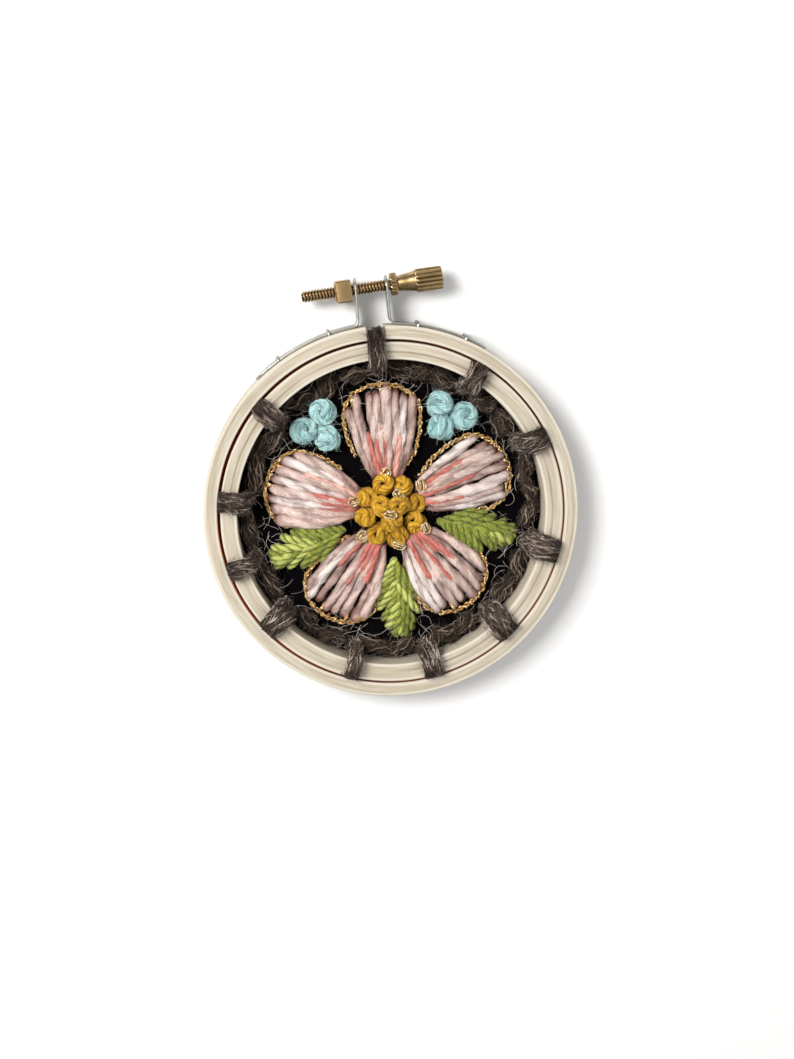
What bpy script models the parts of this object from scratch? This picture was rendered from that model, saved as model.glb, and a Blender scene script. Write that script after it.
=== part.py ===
"""Hoop embroidery art: a small round wooden hoop that holds a stitched flower.

Units are metres and +Z is up. The hoop lies on its back, so its face looks up.
The split of the outer ring, with its thumbscrew, is towards +Y, and the origin
is the middle of the cloth's flat back.
"""

import math

import bmesh
import bpy
from mathutils import Matrix, Vector

MM = 0.001
CLEARANCE = 0.3 * MM  # between pieces that touch on the real object

# Wooden rings
HOOP_DEPTH = 9.0 * MM
OUTER_RING_OUTSIDE = 42.2 * MM
OUTER_RING_INSIDE = 39.1 * MM
INNER_RING_OUTSIDE = 37.9 * MM
INNER_RING_INSIDE = 34.7 * MM
RING_CHAMFER = 0.4 * MM
RING_STEPS = 72
SPLIT_WIDTH = 4.2 * MM

# Ground cloth
CLOTH_THICKNESS = 1.0 * MM
RIM_THICKNESS = 0.6 * MM
RIM_TOP = 6.0 * MM
CLOTH_FACE = CLOTH_THICKNESS + CLEARANCE  # stitches stand on this level

# Steel strips, screw and nut
STRIP_THICKNESS = 0.7 * MM
STRIP_WIDTH = 6.0 * MM
STRIP_BEND = 1.5 * MM
EAR_SPACING = 7.1 * MM
EAR_TOP = 52.9 * MM
SCREW_HEIGHT = 50.5 * MM  # how far the screw's axis is from the hoop's middle
SCREW_LEAN = math.radians(3)
BORE_RADIUS = 1.65 * MM
THREAD_RADIUS = 1.25 * MM
THREAD_DEPTH = 0.2 * MM
THREAD_PITCH = 0.8 * MM
THREAD_END = -15.5 * MM
COLLAR_START = 4.3 * MM
COLLAR_LENGTH = 1.6 * MM
COLLAR_RADIUS = 2.55 * MM
CONE_LENGTH = 4.4 * MM
HEAD_LENGTH = 5.7 * MM
HEAD_RADIUS = 2.6 * MM
HEAD_FLUTES = 14
FLUTE_DEPTH = 0.3 * MM
NUT_START = -7.75 * MM
NUT_LENGTH = 3.35 * MM
NUT_WIDTH = 4.85 * MM

# Far end and staples of each strip, in degrees round the hoop
STRIPS = (
    # side, far end, staples
    ("left", 130.0, (104.0, 121.0)),
    ("right", 55.0, (62.0, 77.0)),
)
STAPLE_WIRE = 0.9 * MM
STAPLE_SPAN = 7.4 * MM

# Stitched flower
PETAL_ANGLES = (90, 162, 234, 306, 18)
PETAL_START = 8.7 * MM
PETAL_TIP = 28.9 * MM
PETAL_INNER_WIDTH = 7.6 * MM
PETAL_WIDTH = 17.6 * MM
PETAL_ROUNDING = 7.0 * MM  # how far the tip stands beyond the shoulders
PETAL_STRANDS = 8
PETAL_CROWN = 3.3 * MM
STRAND_RIDGE = 0.6 * MM
EDGING_WIDTH = 0.5 * MM  # from the crest of the gold edging to its foot
EDGING_HEIGHT = 1.0 * MM

LEAF_ANGLES = (198, 270, 342)
LEAF_START = 15.4 * MM
LEAF_TIP = 29.8 * MM
LEAF_WIDTH = 8.0 * MM
LEAF_CROWN = 3.0 * MM
LEAF_STITCHES = 8

KNOT_RINGS = (
    # name, count, distance from the middle, level, width, height, first angle
    ("centre_knot", 8, 6.15, 3.25, 4.4, 3.8, 11.0),
    ("centre_knot", 3, 2.35, 5.2, 3.8, 4.6, 30.0),
)
BLUE_GROUPS = (54, 126)
BLUE_KNOTS = (
    # distance from the middle, degrees from the group's middle
    (27.2, -7.0),
    (26.9, 6.4),
    (22.2, -0.4),
)
BLUE_WIDTH = 5.5 * MM
BLUE_HEIGHT = 4.8 * MM

# Roving lashings: degrees round the hoop and width in millimetres
LASHINGS = (
    (22.5, 4.6),
    (54.0, 4.2),
    (90.0, 3.5),
    (135.0, 4.2),
    (170.0, 4.2),
    (194.0, 3.8),
    (217.5, 5.2),
    (250.5, 3.2),
    (279.5, 4.2),
    (309.0, 5.4),
    (342.0, 5.6),
)
# Distance from the middle, level and thickness down a lashing, in millimetres
LASHING_ROUTE = (
    (38.5, 7.4, 0.5),
    (38.5, 9.0, 0.6),
    (38.0, 10.0, 1.2),
    (36.3, 10.4, 1.8),
    (34.4, 10.1, 1.8),
    (33.4, 8.8, 1.7),
    (33.3, 6.0, 1.6),
    (33.0, 3.6, 1.6),
    (32.0, 2.6, 1.8),
    (30.7, 2.2, 1.4),
)
SPLIT_ROUTE = (
    (41.2, 3.2, 1.2),
    (41.1, 7.0, 1.5),
    (40.6, 9.0, 1.6),
    (39.0, 10.2, 1.6),
) + LASHING_ROUTE[3:]
BORDER_RADIUS = 32.3 * MM
BORDER_WIDTH = 4.0 * MM
BORDER_HEIGHT = 3.2 * MM


def make_material(name, colour, roughness, metallic=0.0):
    material = bpy.data.materials.new(name)
    material.use_nodes = True
    shader = material.node_tree.nodes["Principled BSDF"]
    shader.inputs["Base Color"].default_value = (*colour, 1.0)
    shader.inputs["Roughness"].default_value = roughness
    shader.inputs["Metallic"].default_value = metallic
    return material


def add_object(name, bm, material, sharp_angle=35):
    bmesh.ops.recalc_face_normals(bm, faces=bm.faces)
    mesh = bpy.data.meshes.new(name)
    bm.to_mesh(mesh)
    bm.free()
    mesh.shade_smooth()
    mesh.set_sharp_from_angle(angle=math.radians(sharp_angle))
    mesh.materials.append(material)
    piece = bpy.data.objects.new(name, mesh)
    bpy.context.collection.objects.link(piece)
    return piece


def boolean(piece, other, operation):
    """Cut or join another object, which is then only a helper."""
    modifier = piece.modifiers.new(operation.title(), "BOOLEAN")
    modifier.object = other
    modifier.operation = operation
    modifier.solver = "EXACT"
    other.hide_render = True
    other.display_type = "WIRE"


def around(angle, distance, level=0.0):
    """Point at an angle in degrees and a distance from the hoop's middle."""
    turn = math.radians(angle)
    return Vector((distance * math.cos(turn), distance * math.sin(turn), level))


# Shapes that several pieces share


def spin_section(section, start, sweep, steps):
    """Closed section of (distance, level) points turned round the hoop's axis."""
    bm = bmesh.new()
    points = [bm.verts.new(around(start, r, z)) for r, z in section]
    edges = [bm.edges.new((a, b)) for a, b in zip(points, points[1:] + points[:1])]
    full = abs(sweep - 360) < 1e-6
    bmesh.ops.spin(
        bm,
        geom=points + edges,
        cent=(0, 0, 0),
        axis=(0, 0, 1),
        angle=math.radians(sweep),
        steps=steps,
        use_merge=full,
    )
    ends = [edge for edge in bm.edges if edge.is_boundary]
    bmesh.ops.holes_fill(bm, edges=ends, sides=0)
    return bm


def chamfered_section(inside, outside, low, high, chamfer):
    """Rectangle with its corners cut off, as (distance, level) points."""
    return (
        (outside - chamfer, low),
        (outside, low + chamfer),
        (outside, high - chamfer),
        (outside - chamfer, high),
        (inside + chamfer, high),
        (inside, high - chamfer),
        (inside, low + chamfer),
        (inside + chamfer, low),
    )


def sweep_tube(frames, sides):
    """Tube whose unit circle is placed by each frame in turn, with closed ends."""
    bm = bmesh.new()
    circle = bmesh.ops.create_circle(bm, segments=sides, radius=1, cap_ends=True)
    bmesh.ops.transform(bm, matrix=frames[0], verts=circle["verts"])
    edges = list(bm.edges)
    for before, after in zip(frames, frames[1:]):
        grown = bmesh.ops.extrude_edge_only(bm, edges=edges)["geom"]
        verts = [g for g in grown if isinstance(g, bmesh.types.BMVert)]
        edges = [e for e in grown if isinstance(e, bmesh.types.BMEdge) and e.is_boundary]
        bmesh.ops.transform(bm, matrix=after @ before.inverted(), verts=verts)
    bmesh.ops.holes_fill(bm, edges=edges, sides=0)
    return bm


def frame_at(place, wide, thick, half_width, half_thickness):
    """Frame of a tube's section: its wide and thick directions and half sizes."""
    frame = Matrix.Identity(4)
    frame.col[0].xyz = wide * half_width
    frame.col[1].xyz = thick * half_thickness
    frame.col[2].xyz = wide.cross(thick).normalized() * MM
    frame.col[3].xyz = place
    return frame


def relief(columns, rows, place):
    """Closed lump on the cloth: place(column, row) gives the top's points."""
    bm = bmesh.new()
    bmesh.ops.create_grid(bm, x_segments=columns, y_segments=rows, size=0.5)
    for vert in bm.verts:
        column = round((vert.co.x + 0.5) * columns)
        row = round((vert.co.y + 0.5) * rows)
        vert.co = place(column, row)
    edges = [edge for edge in bm.edges if edge.is_boundary]
    bmesh.ops.holes_fill(bm, edges=edges, sides=0)
    return bm


# The hoop


def make_ring(name, inside, outside, low, material, split_width=0.0):
    section = chamfered_section(inside, outside, low, HOOP_DEPTH, RING_CHAMFER)
    half_split = math.degrees(split_width / (inside + outside))
    bm = spin_section(section, 90 + half_split, 360 - 2 * half_split, RING_STEPS)
    return add_object(name, bm, material)


def make_cloth(material):
    """Flat disc, and the edge that is turned up between the rings."""
    rim_inside = INNER_RING_OUTSIDE + CLEARANCE
    rim_outside = rim_inside + RIM_THICKNESS
    disc = bmesh.new()
    bmesh.ops.create_cone(
        disc,
        cap_ends=True,
        segments=RING_STEPS,
        radius1=rim_outside,
        radius2=rim_outside,
        depth=CLOTH_THICKNESS,
    )
    bmesh.ops.translate(disc, verts=disc.verts, vec=(0, 0, CLOTH_THICKNESS / 2))
    add_object("cloth", disc, material)
    section = (
        (rim_outside, CLOTH_FACE),
        (rim_outside, RIM_TOP),
        (rim_inside, RIM_TOP),
        (rim_inside, CLOTH_FACE),
    )
    add_object("cloth_edge", spin_section(section, 0, 360, RING_STEPS), material)


def strip_route(side, far_end):
    """Middle line of a strip from its far end to the top of its ear."""
    sign = -1 if side == "left" else 1
    radius = OUTER_RING_OUTSIDE + CLEARANCE + STRIP_THICKNESS / 2
    ear = EAR_SPACING / 2
    bend_x = ear + STRIP_BEND
    bend_y = math.sqrt((radius + STRIP_BEND) ** 2 - bend_x**2)
    meets = math.degrees(math.atan2(bend_y, bend_x))
    far = far_end if side == "right" else 180 - far_end
    steps = 9
    route = [around(far + (meets - far) * i / steps, radius) for i in range(steps + 1)]
    bend_steps = 4
    for i in range(1, bend_steps + 1):
        turn = math.radians(180 + meets + (0 - meets) * i / bend_steps)
        offset = Vector((math.cos(turn), math.sin(turn), 0)) * STRIP_BEND
        route.append(Vector((bend_x, bend_y, 0)) + offset)
    route.append(Vector((ear, EAR_TOP, 0)))
    return [Vector((sign * p.x, p.y, 0)) for p in route]


def offset_line(route, distance):
    """Route moved sideways by a distance, with mitred corners."""
    moved = []
    for i, point in enumerate(route):
        before = (point - route[max(i - 1, 0)]).normalized()
        after = (route[min(i + 1, len(route) - 1)] - point).normalized()
        along = (before + after).normalized()
        side = Vector((-along.y, along.x, 0))
        mitre = side.dot(Vector((-after.y, after.x, 0))) if after.length else 1
        moved.append(point + side * distance / max(mitre, 0.5))
    return moved


def make_bracket(side, far_end, material):
    route = strip_route(side, far_end)
    half = STRIP_THICKNESS / 2
    outline = offset_line(route, half) + offset_line(route, -half)[::-1]
    low = (HOOP_DEPTH - STRIP_WIDTH) / 2
    bm = bmesh.new()
    face = bm.faces.new([bm.verts.new((p.x, p.y, low)) for p in outline])
    grown = bmesh.ops.extrude_face_region(bm, geom=[face], use_keep_orig=True)
    verts = [g for g in grown["geom"] if isinstance(g, bmesh.types.BMVert)]
    bmesh.ops.translate(bm, verts=verts, vec=(0, 0, STRIP_WIDTH))
    ends = [e for e in bm.edges if is_end_corner(e, route)]
    bmesh.ops.bevel(
        bm,
        geom=ends,
        offset=STRIP_WIDTH * 0.36,
        offset_type="OFFSET",
        segments=4,
        profile=0.5,
        affect="EDGES",
        material=-1,
    )
    piece = add_object(f"bracket_{side}", bm, material)
    boolean(piece, make_bore(f"bore_{side}", route[-1].x), "DIFFERENCE")
    return piece


def is_end_corner(edge, route):
    """Whether an edge crosses the strip's thickness at either end."""
    a, b = (v.co for v in edge.verts)
    if abs(a.z - b.z) > CLEARANCE or (a - b).length > STRIP_THICKNESS * 1.1:
        return False
    middle = (a + b) / 2
    return any((middle.xy - end.xy).length < CLEARANCE for end in (route[0], route[-1]))


def screw_frame(distance=0.0):
    """Frame on the screw's axis, with its +Z along the screw towards the head."""
    place = Matrix.Translation((0, SCREW_HEIGHT, HOOP_DEPTH / 2))
    lean = Matrix.Rotation(SCREW_LEAN, 4, "Z")
    lie = Matrix.Rotation(math.radians(90), 4, "Y")
    return place @ lean @ lie @ Matrix.Translation((0, 0, distance))


def make_bore(name, distance, length=3 * MM):
    bm = bmesh.new()
    bmesh.ops.create_cone(
        bm,
        cap_ends=True,
        segments=20,
        radius1=BORE_RADIUS,
        radius2=BORE_RADIUS,
        depth=length,
    )
    cutter = add_object(name, bm, brass)
    cutter.matrix_world = screw_frame(distance)
    return cutter


def make_staple(name, angle, material):
    """Round wire that straddles a strip and points at the ring either side."""
    over = OUTER_RING_OUTSIDE + 2 * CLEARANCE + STRIP_THICKNESS + STAPLE_WIRE / 2
    foot = OUTER_RING_OUTSIDE + CLEARANCE
    middle = HOOP_DEPTH / 2
    half = STAPLE_SPAN / 2
    route = (
        # distance, level, direction of travel in degrees from outwards
        (foot, middle - half, 0),
        (over - 0.35 * MM, middle - half, 0),
        (over, middle - half + 0.35 * MM, 90),
        (over, middle + half - 0.35 * MM, 90),
        (over - 0.35 * MM, middle + half, 180),
        (foot, middle + half, 180),
    )
    outwards = around(angle, 1)
    sideways = Vector((-outwards.y, outwards.x, 0))
    up = Vector((0, 0, 1))
    frames = []
    for distance, level, turn in route:
        heading = outwards * math.cos(math.radians(turn)) + up * math.sin(math.radians(turn))
        thick = heading.cross(sideways)
        place = around(angle, distance, level)
        frames.append(frame_at(place, sideways, thick, STAPLE_WIRE / 2, STAPLE_WIRE / 2))
    return add_object(name, sweep_tube(frames, 6), material)


def make_nut(material):
    bm = bmesh.new()
    bmesh.ops.create_cube(bm, size=1)
    bmesh.ops.scale(bm, vec=(NUT_WIDTH, NUT_WIDTH, NUT_LENGTH), verts=bm.verts)
    bmesh.ops.bevel(
        bm,
        geom=list(bm.edges),
        offset=0.35 * MM,
        offset_type="OFFSET",
        segments=2,
        profile=0.5,
        affect="EDGES",
        material=-1,
    )
    nut = add_object("nut", bm, material)
    middle = NUT_START + NUT_LENGTH / 2
    nut.matrix_world = screw_frame(middle)
    boolean(nut, make_bore("bore_nut", middle, NUT_LENGTH * 2), "DIFFERENCE")
    return nut


def make_screw(material):
    """Threaded rod, collar and cone as one turned shape, joined to a fluted head."""
    root = THREAD_RADIUS - THREAD_DEPTH
    profile = [(0.0, THREAD_END), (root, THREAD_END)]
    turns = int((COLLAR_START - 0.6 * MM - THREAD_END) / THREAD_PITCH)
    for turn in range(turns):
        start = THREAD_END + turn * THREAD_PITCH
        profile.append((THREAD_RADIUS, start + THREAD_PITCH * 0.5))
        profile.append((root, start + THREAD_PITCH))
    collar_end = COLLAR_START + COLLAR_LENGTH
    head_start = collar_end + CONE_LENGTH
    profile += [
        (THREAD_RADIUS, COLLAR_START - 0.2 * MM),
        (THREAD_RADIUS, COLLAR_START),
        (COLLAR_RADIUS, COLLAR_START),
        (COLLAR_RADIUS, collar_end),
        (THREAD_RADIUS, collar_end),
        (HEAD_RADIUS * 0.92, head_start),
        (HEAD_RADIUS * 0.92, head_start + HEAD_LENGTH / 2),
        (0.0, head_start + HEAD_LENGTH / 2),
    ]
    bm = bmesh.new()
    points = [bm.verts.new((r, 0, z)) for r, z in profile]
    edges = [bm.edges.new(pair) for pair in zip(points, points[1:])]
    bmesh.ops.spin(
        bm,
        geom=points + edges,
        cent=(0, 0, 0),
        axis=(0, 0, 1),
        angle=math.tau,
        steps=12,
        use_merge=True,
    )
    bmesh.ops.remove_doubles(bm, verts=bm.verts, dist=0.001 * MM)
    screw = add_object("screw", bm, material)
    screw.matrix_world = screw_frame()
    boolean(screw, make_head(head_start, material), "UNION")
    return screw


def make_head(start, material):
    bm = bmesh.new()
    circle = bmesh.ops.create_circle(
        bm, segments=2 * HEAD_FLUTES, radius=HEAD_RADIUS, cap_ends=True
    )
    for index, vert in enumerate(circle["verts"]):
        if index % 2:
            vert.co *= 1 - FLUTE_DEPTH / HEAD_RADIUS
    grown = bmesh.ops.extrude_face_region(bm, geom=list(bm.faces), use_keep_orig=True)
    verts = [g for g in grown["geom"] if isinstance(g, bmesh.types.BMVert)]
    bmesh.ops.translate(bm, verts=verts, vec=(0, 0, HEAD_LENGTH))
    head = add_object("fluted_head", bm, material)
    head.matrix_world = screw_frame(start)
    return head


# The stitching


def make_petal(index, angle, material):
    """Fan of straight stitches with a low gold edging round its outer side."""
    per_strand = 3
    edge_columns = 2
    columns = PETAL_STRANDS * per_strand + 2 * edge_columns
    row_places = (0, 0.05, 0.22, 0.45, 0.66, 0.84, 0.94, 1)
    last_row = len(row_places) - 1
    rows = last_row + edge_columns
    outwards = around(angle, 1)
    sideways = Vector((-outwards.y, outwards.x, 0))

    def outline(across, v):
        half_width = PETAL_INNER_WIDTH / 2
        half_width += (PETAL_WIDTH - PETAL_INNER_WIDTH) / 2 * math.sin(math.pi / 2 * v**0.8)
        tip = PETAL_TIP - PETAL_ROUNDING * (1 - math.sqrt(1 - across**2))
        return outwards * (PETAL_START + (tip - PETAL_START) * v) + sideways * half_width * across

    def place(column, row):
        v = row_places[min(row, last_row)]
        u = (column - edge_columns) / (columns - 2 * edge_columns)
        across = min(max(2 * u - 1, -1.0), 1.0)
        point = outline(across, v)
        beyond = max(edge_columns - column, column - (columns - edge_columns), 0)
        beyond_tip = max(row - last_row, 0)
        outside = max(beyond, beyond_tip)
        if outside:
            lean = 88 if beyond and not beyond_tip else 76 * abs(across) + 5 * beyond
            lean = math.copysign(math.radians(lean), across)
            push = outwards * math.cos(lean) + sideways * math.sin(lean)
            point += push * EDGING_WIDTH * outside
        strand = math.cos(math.tau * u * PETAL_STRANDS)
        bulge = math.sin(math.pi * min(0.08 + v * 0.9, 1)) ** 0.35
        level = bulge * (PETAL_CROWN - 0.5 * MM * across**2 - STRAND_RIDGE / 2 * (1 + strand))
        if outside == 1:
            level = EDGING_HEIGHT
        if outside == edge_columns or row == 0:
            level = 0
        point.z = CLOTH_FACE + level
        return point

    bm = relief(columns, rows, place)
    return add_object(f"petal_{index}", bm, material, sharp_angle=60)


def make_leaf(index, angle, material):
    """Fishbone stitches that slant back from the middle vein to both sides."""
    columns = 8
    rows = LEAF_STITCHES * 3
    outwards = around(angle, 1)
    sideways = Vector((-outwards.y, outwards.x, 0))

    def place(column, row):
        across = 2 * column / columns - 1
        v = row / rows
        half_width = LEAF_WIDTH / 2 * max(math.sin(math.pi * v), 0.06) ** 0.8
        lean = v + 0.14 * abs(across) * math.sin(math.pi * v)
        distance = LEAF_START + (LEAF_TIP - LEAF_START) * lean
        stitch = math.cos(math.tau * v * LEAF_STITCHES)
        dome = 1 - 0.45 * abs(across) ** 2 - 0.18 * (1 - abs(across)) ** 4
        ends = math.sin(math.pi * v) ** 0.4 if 0 < row < rows else 0
        level = CLOTH_FACE + ends * (LEAF_CROWN * dome - 0.25 * MM * (1 + stitch))
        if column in (0, columns) or row in (0, rows):
            level = CLOTH_FACE
        return outwards * distance + sideways * half_width * across + Vector((0, 0, level))

    bm = relief(columns, rows, place)
    return add_object(f"leaf_{index}", bm, material, sharp_angle=60)


def make_knot(name, place, width, height, material, turn=0.0):
    """Squashed ball with the wound ridges of a French knot and a dimple on top."""
    bm = bmesh.new()
    bmesh.ops.create_uvsphere(bm, u_segments=12, v_segments=8, radius=1)
    for vert in bm.verts:
        azimuth = math.atan2(vert.co.y, vert.co.x) + turn
        tilt = math.asin(max(-1, min(1, vert.co.z)))
        ridge = 1 - 0.055 * (1 + math.cos(3 * azimuth + 5 * tilt))
        dimple = 0.22 * max(0, vert.co.z) ** 6
        vert.co = Vector(
            (
                vert.co.x * ridge * width / 2,
                vert.co.y * ridge * width / 2,
                (vert.co.z - dimple) * height / 2,
            )
        )
        vert.co += place
        vert.co.z = max(vert.co.z, CLOTH_FACE)
    return add_object(name, bm, material, sharp_angle=70)


def make_lashing(index, angle, width, material):
    """Flat tuft of roving over the inner ring, from the rings' gap to the cloth."""
    in_split = abs(angle - 90) < 1
    route = SPLIT_ROUTE if in_split else LASHING_ROUTE
    outwards = around(angle, 1)
    sideways = Vector((-outwards.y, outwards.x, 0))
    frames = []
    for i, (distance, level, thickness) in enumerate(route):
        before = route[max(i - 1, 0)]
        after = route[min(i + 1, len(route) - 1)]
        heading = outwards * (after[0] - before[0]) + Vector((0, 0, after[1] - before[1]))
        thick = heading.normalized().cross(sideways)
        last = len(route) - 1
        taper = 0.72 if i in (0, last) else 0.9 if i in (1, last - 1) else 1.0
        place = around(angle, distance * MM, level * MM)
        half_width = width * MM / 2 * taper
        frames.append(frame_at(place, sideways, thick, half_width, thickness * MM / 2))
    bm = sweep_tube(frames, 8)
    return add_object(f"lashing_{index:02d}", bm, material, sharp_angle=60)


def make_border_stitch(index, start, end, material):
    """Fat stitch of roving that lies along the inner ring between two lashings."""
    steps = 6
    frames = []
    for i in range(steps + 1):
        share = i / steps
        angle = start + (end - start) * share
        outwards = around(angle, 1)
        swell = math.sin(math.pi * (0.08 + 0.84 * share)) ** 0.45
        half_height = BORDER_HEIGHT / 2 * swell
        place = around(angle, BORDER_RADIUS, CLOTH_FACE + half_height)
        up = Vector((0, 0, 1))
        frames.append(frame_at(place, outwards, up, BORDER_WIDTH / 2 * swell, half_height))
    bm = sweep_tube(frames, 8)
    return add_object(f"border_stitch_{index:02d}", bm, material, sharp_angle=60)


def make_border(material):
    """Border stitches fill the stretches between one lashing and the next."""
    room = 0.5 * MM
    for index, (angle, width) in enumerate(LASHINGS):
        following, next_width = LASHINGS[(index + 1) % len(LASHINGS)]
        following += 360 if following <= angle else 0
        start = angle + math.degrees((width / 2 * MM + room) / BORDER_RADIUS)
        end = following - math.degrees((next_width / 2 * MM + room) / BORDER_RADIUS)
        make_border_stitch(index + 1, start, end, material)


def make_knots():
    number = 0
    for name, count, distance, level, width, height, first in KNOT_RINGS:
        for i in range(count):
            number += 1
            place = around(first + 360 * i / count, distance * MM, level * MM)
            make_knot(f"{name}_{number:02d}", place, width * MM, height * MM, mustard, i)
    number = 0
    for group in BLUE_GROUPS:
        for distance, turn in BLUE_KNOTS:
            number += 1
            level = CLOTH_FACE + BLUE_HEIGHT * 0.46
            place = around(group + turn, distance * MM, level)
            make_knot(f"blue_knot_{number}", place, BLUE_WIDTH, BLUE_HEIGHT, blue_wool, number)


for old in list(bpy.data.objects):
    bpy.data.objects.remove(old)

wood = make_material("pale_wood", (0.78, 0.70, 0.56), 0.6)
black_cotton = make_material("black_cotton", (0.010, 0.008, 0.011), 0.95)
steel = make_material("zinc_plated_steel", (0.42, 0.43, 0.40), 0.35, 1.0)
brass = make_material("aged_brass", (0.36, 0.22, 0.08), 0.4, 1.0)
pink_wool = make_material("pink_wool", (0.75, 0.58, 0.57), 0.95)
green_wool = make_material("green_wool", (0.22, 0.33, 0.09), 0.95)
mustard = make_material("mustard_cotton", (0.66, 0.38, 0.03), 0.7)
blue_wool = make_material("blue_wool", (0.26, 0.55, 0.60), 0.95)
roving = make_material("brown_roving", (0.13, 0.10, 0.085), 1.0)

make_ring("outer_ring", OUTER_RING_INSIDE, OUTER_RING_OUTSIDE, 0.0, wood, SPLIT_WIDTH)
make_ring("inner_ring", INNER_RING_INSIDE, INNER_RING_OUTSIDE, CLOTH_FACE, wood)
make_cloth(black_cotton)

for strip_side, strip_end, strip_staples in STRIPS:
    make_bracket(strip_side, strip_end, steel)
    for staple_number, staple_angle in enumerate(strip_staples, 1):
        make_staple(f"staple_{strip_side}_{staple_number}", staple_angle, steel)
make_nut(brass)
make_screw(brass)

for petal_number, petal_angle in enumerate(PETAL_ANGLES, 1):
    make_petal(petal_number, petal_angle, pink_wool)
for leaf_number, leaf_angle in enumerate(LEAF_ANGLES, 1):
    make_leaf(leaf_number, leaf_angle, green_wool)
make_knots()
for lashing_number, (lashing_angle, lashing_width) in enumerate(LASHINGS, 1):
    make_lashing(lashing_number, lashing_angle, lashing_width, roving)
make_border(roving)
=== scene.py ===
import math
import random

import bmesh
import bpy
from mathutils import Matrix, Vector, noise


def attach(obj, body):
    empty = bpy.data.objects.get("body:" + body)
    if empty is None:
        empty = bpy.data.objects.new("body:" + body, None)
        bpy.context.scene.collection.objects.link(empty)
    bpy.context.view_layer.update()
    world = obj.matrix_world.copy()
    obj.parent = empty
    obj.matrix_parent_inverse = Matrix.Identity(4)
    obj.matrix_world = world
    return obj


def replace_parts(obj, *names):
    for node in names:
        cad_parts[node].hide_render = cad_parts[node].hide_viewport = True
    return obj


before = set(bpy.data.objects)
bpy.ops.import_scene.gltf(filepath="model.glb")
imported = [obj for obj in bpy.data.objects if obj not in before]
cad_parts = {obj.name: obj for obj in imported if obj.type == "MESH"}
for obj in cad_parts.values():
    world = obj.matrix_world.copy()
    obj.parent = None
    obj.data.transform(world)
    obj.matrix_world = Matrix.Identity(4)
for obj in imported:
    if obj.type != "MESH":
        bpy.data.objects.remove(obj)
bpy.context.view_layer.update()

# Lengths in the settings are in millimetres and angles in degrees round the hoop
mm = 0.001
clothFace = 1.3
hoop = {"depth": 9.0, "outerOut": 42.2, "outerIn": 39.1, "innerOut": 38.7, "innerIn": 34.7, "split": 4.2,
        "offCentre": 0.3, "widestGap": 148}


def polar(angle, distance, level=0.0):
    turn = math.radians(angle)
    return Vector((distance * math.cos(turn), distance * math.sin(turn), level))


# Outward and sideways directions at an angle round the hoop
def axesAt(angle):
    return polar(angle, 1.0), polar(angle + 90, 1.0)


def mix(a, b, share):
    return a + (b - a) * share


def smooth(x):
    x = min(max(x, 0.0), 1.0)
    return x * x * (3 - 2 * x)


# Finish a bmesh in metres as an object that rides on a body
def piece(name, bm, material, body="hoop", angle=50):
    mesh = bpy.data.meshes.new(name)
    bm.to_mesh(mesh)
    bm.free()
    mesh.shade_smooth()
    mesh.set_sharp_from_angle(angle=math.radians(angle))
    for used in material if isinstance(material, tuple) else (material,):
        mesh.materials.append(used)
    thing = bpy.data.objects.new(name, mesh)
    bpy.context.collection.objects.link(thing)
    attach(thing, body)
    return thing


# Node helpers

def link(tree, source, target):
    tree.links.new(source, target)


def mathNode(tree, operation, a, b=None):
    node = tree.nodes.new("ShaderNodeMath")
    node.operation = operation
    for socket, value in zip(node.inputs, (a, b)):
        if value is None:
            continue
        if isinstance(value, (int, float)):
            socket.default_value = value
        else:
            link(tree, value, socket)
    return node.outputs[0]


def colourMix(tree, share, a, b, blend="MIX"):
    node = tree.nodes.new("ShaderNodeMix")
    node.data_type = "RGBA"
    node.blend_type = blend
    for socket, value in ((node.inputs[0], share), (node.inputs[6], a), (node.inputs[7], b)):
        if isinstance(value, (int, float)):
            socket.default_value = value
        elif isinstance(value, tuple):
            socket.default_value = (*value, 1.0)
        else:
            link(tree, value, socket)
    return node.outputs[2]


def noiseNode(tree, vector, scale, detail=3.0, rough=0.55):
    node = tree.nodes.new("ShaderNodeTexNoise")
    node.inputs["Scale"].default_value = scale
    node.inputs["Detail"].default_value = detail
    node.inputs["Roughness"].default_value = rough
    link(tree, vector, node.inputs["Vector"])
    return node.outputs["Fac"]


def rangeNode(tree, value, low, high, toLow=0.0, toHigh=1.0):
    node = tree.nodes.new("ShaderNodeMapRange")
    link(tree, value, node.inputs["Value"])
    for name, number in (("From Min", low), ("From Max", high), ("To Min", toLow), ("To Max", toHigh)):
        node.inputs[name].default_value = number
    return node.outputs[0]


def combine(tree, x, y, z):
    node = tree.nodes.new("ShaderNodeCombineXYZ")
    for socket, value in zip(node.inputs, (x, y, z)):
        if isinstance(value, (int, float)):
            socket.default_value = value
        else:
            link(tree, value, socket)
    return node.outputs[0]


def newGroup(name, inputs, outputs):
    group = bpy.data.node_groups.new(name, "ShaderNodeTree")
    for label, kind, default in inputs:
        socket = group.interface.new_socket(label, in_out="INPUT", socket_type=kind)
        if default is not None:
            socket.default_value = default
    for label, kind in outputs:
        group.interface.new_socket(label, in_out="OUTPUT", socket_type=kind)
    return group, group.nodes.new("NodeGroupInput"), group.nodes.new("NodeGroupOutput")


def newMaterial(name, roughness, **sockets):
    material = bpy.data.materials.new(name)
    material.use_nodes = True
    tree = material.node_tree
    shader = tree.nodes["Principled BSDF"]
    shader.inputs["Roughness"].default_value = roughness
    for label, value in sockets.items():
        shader.inputs[label.replace("_", " ")].default_value = value
    return material, tree, shader


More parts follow.
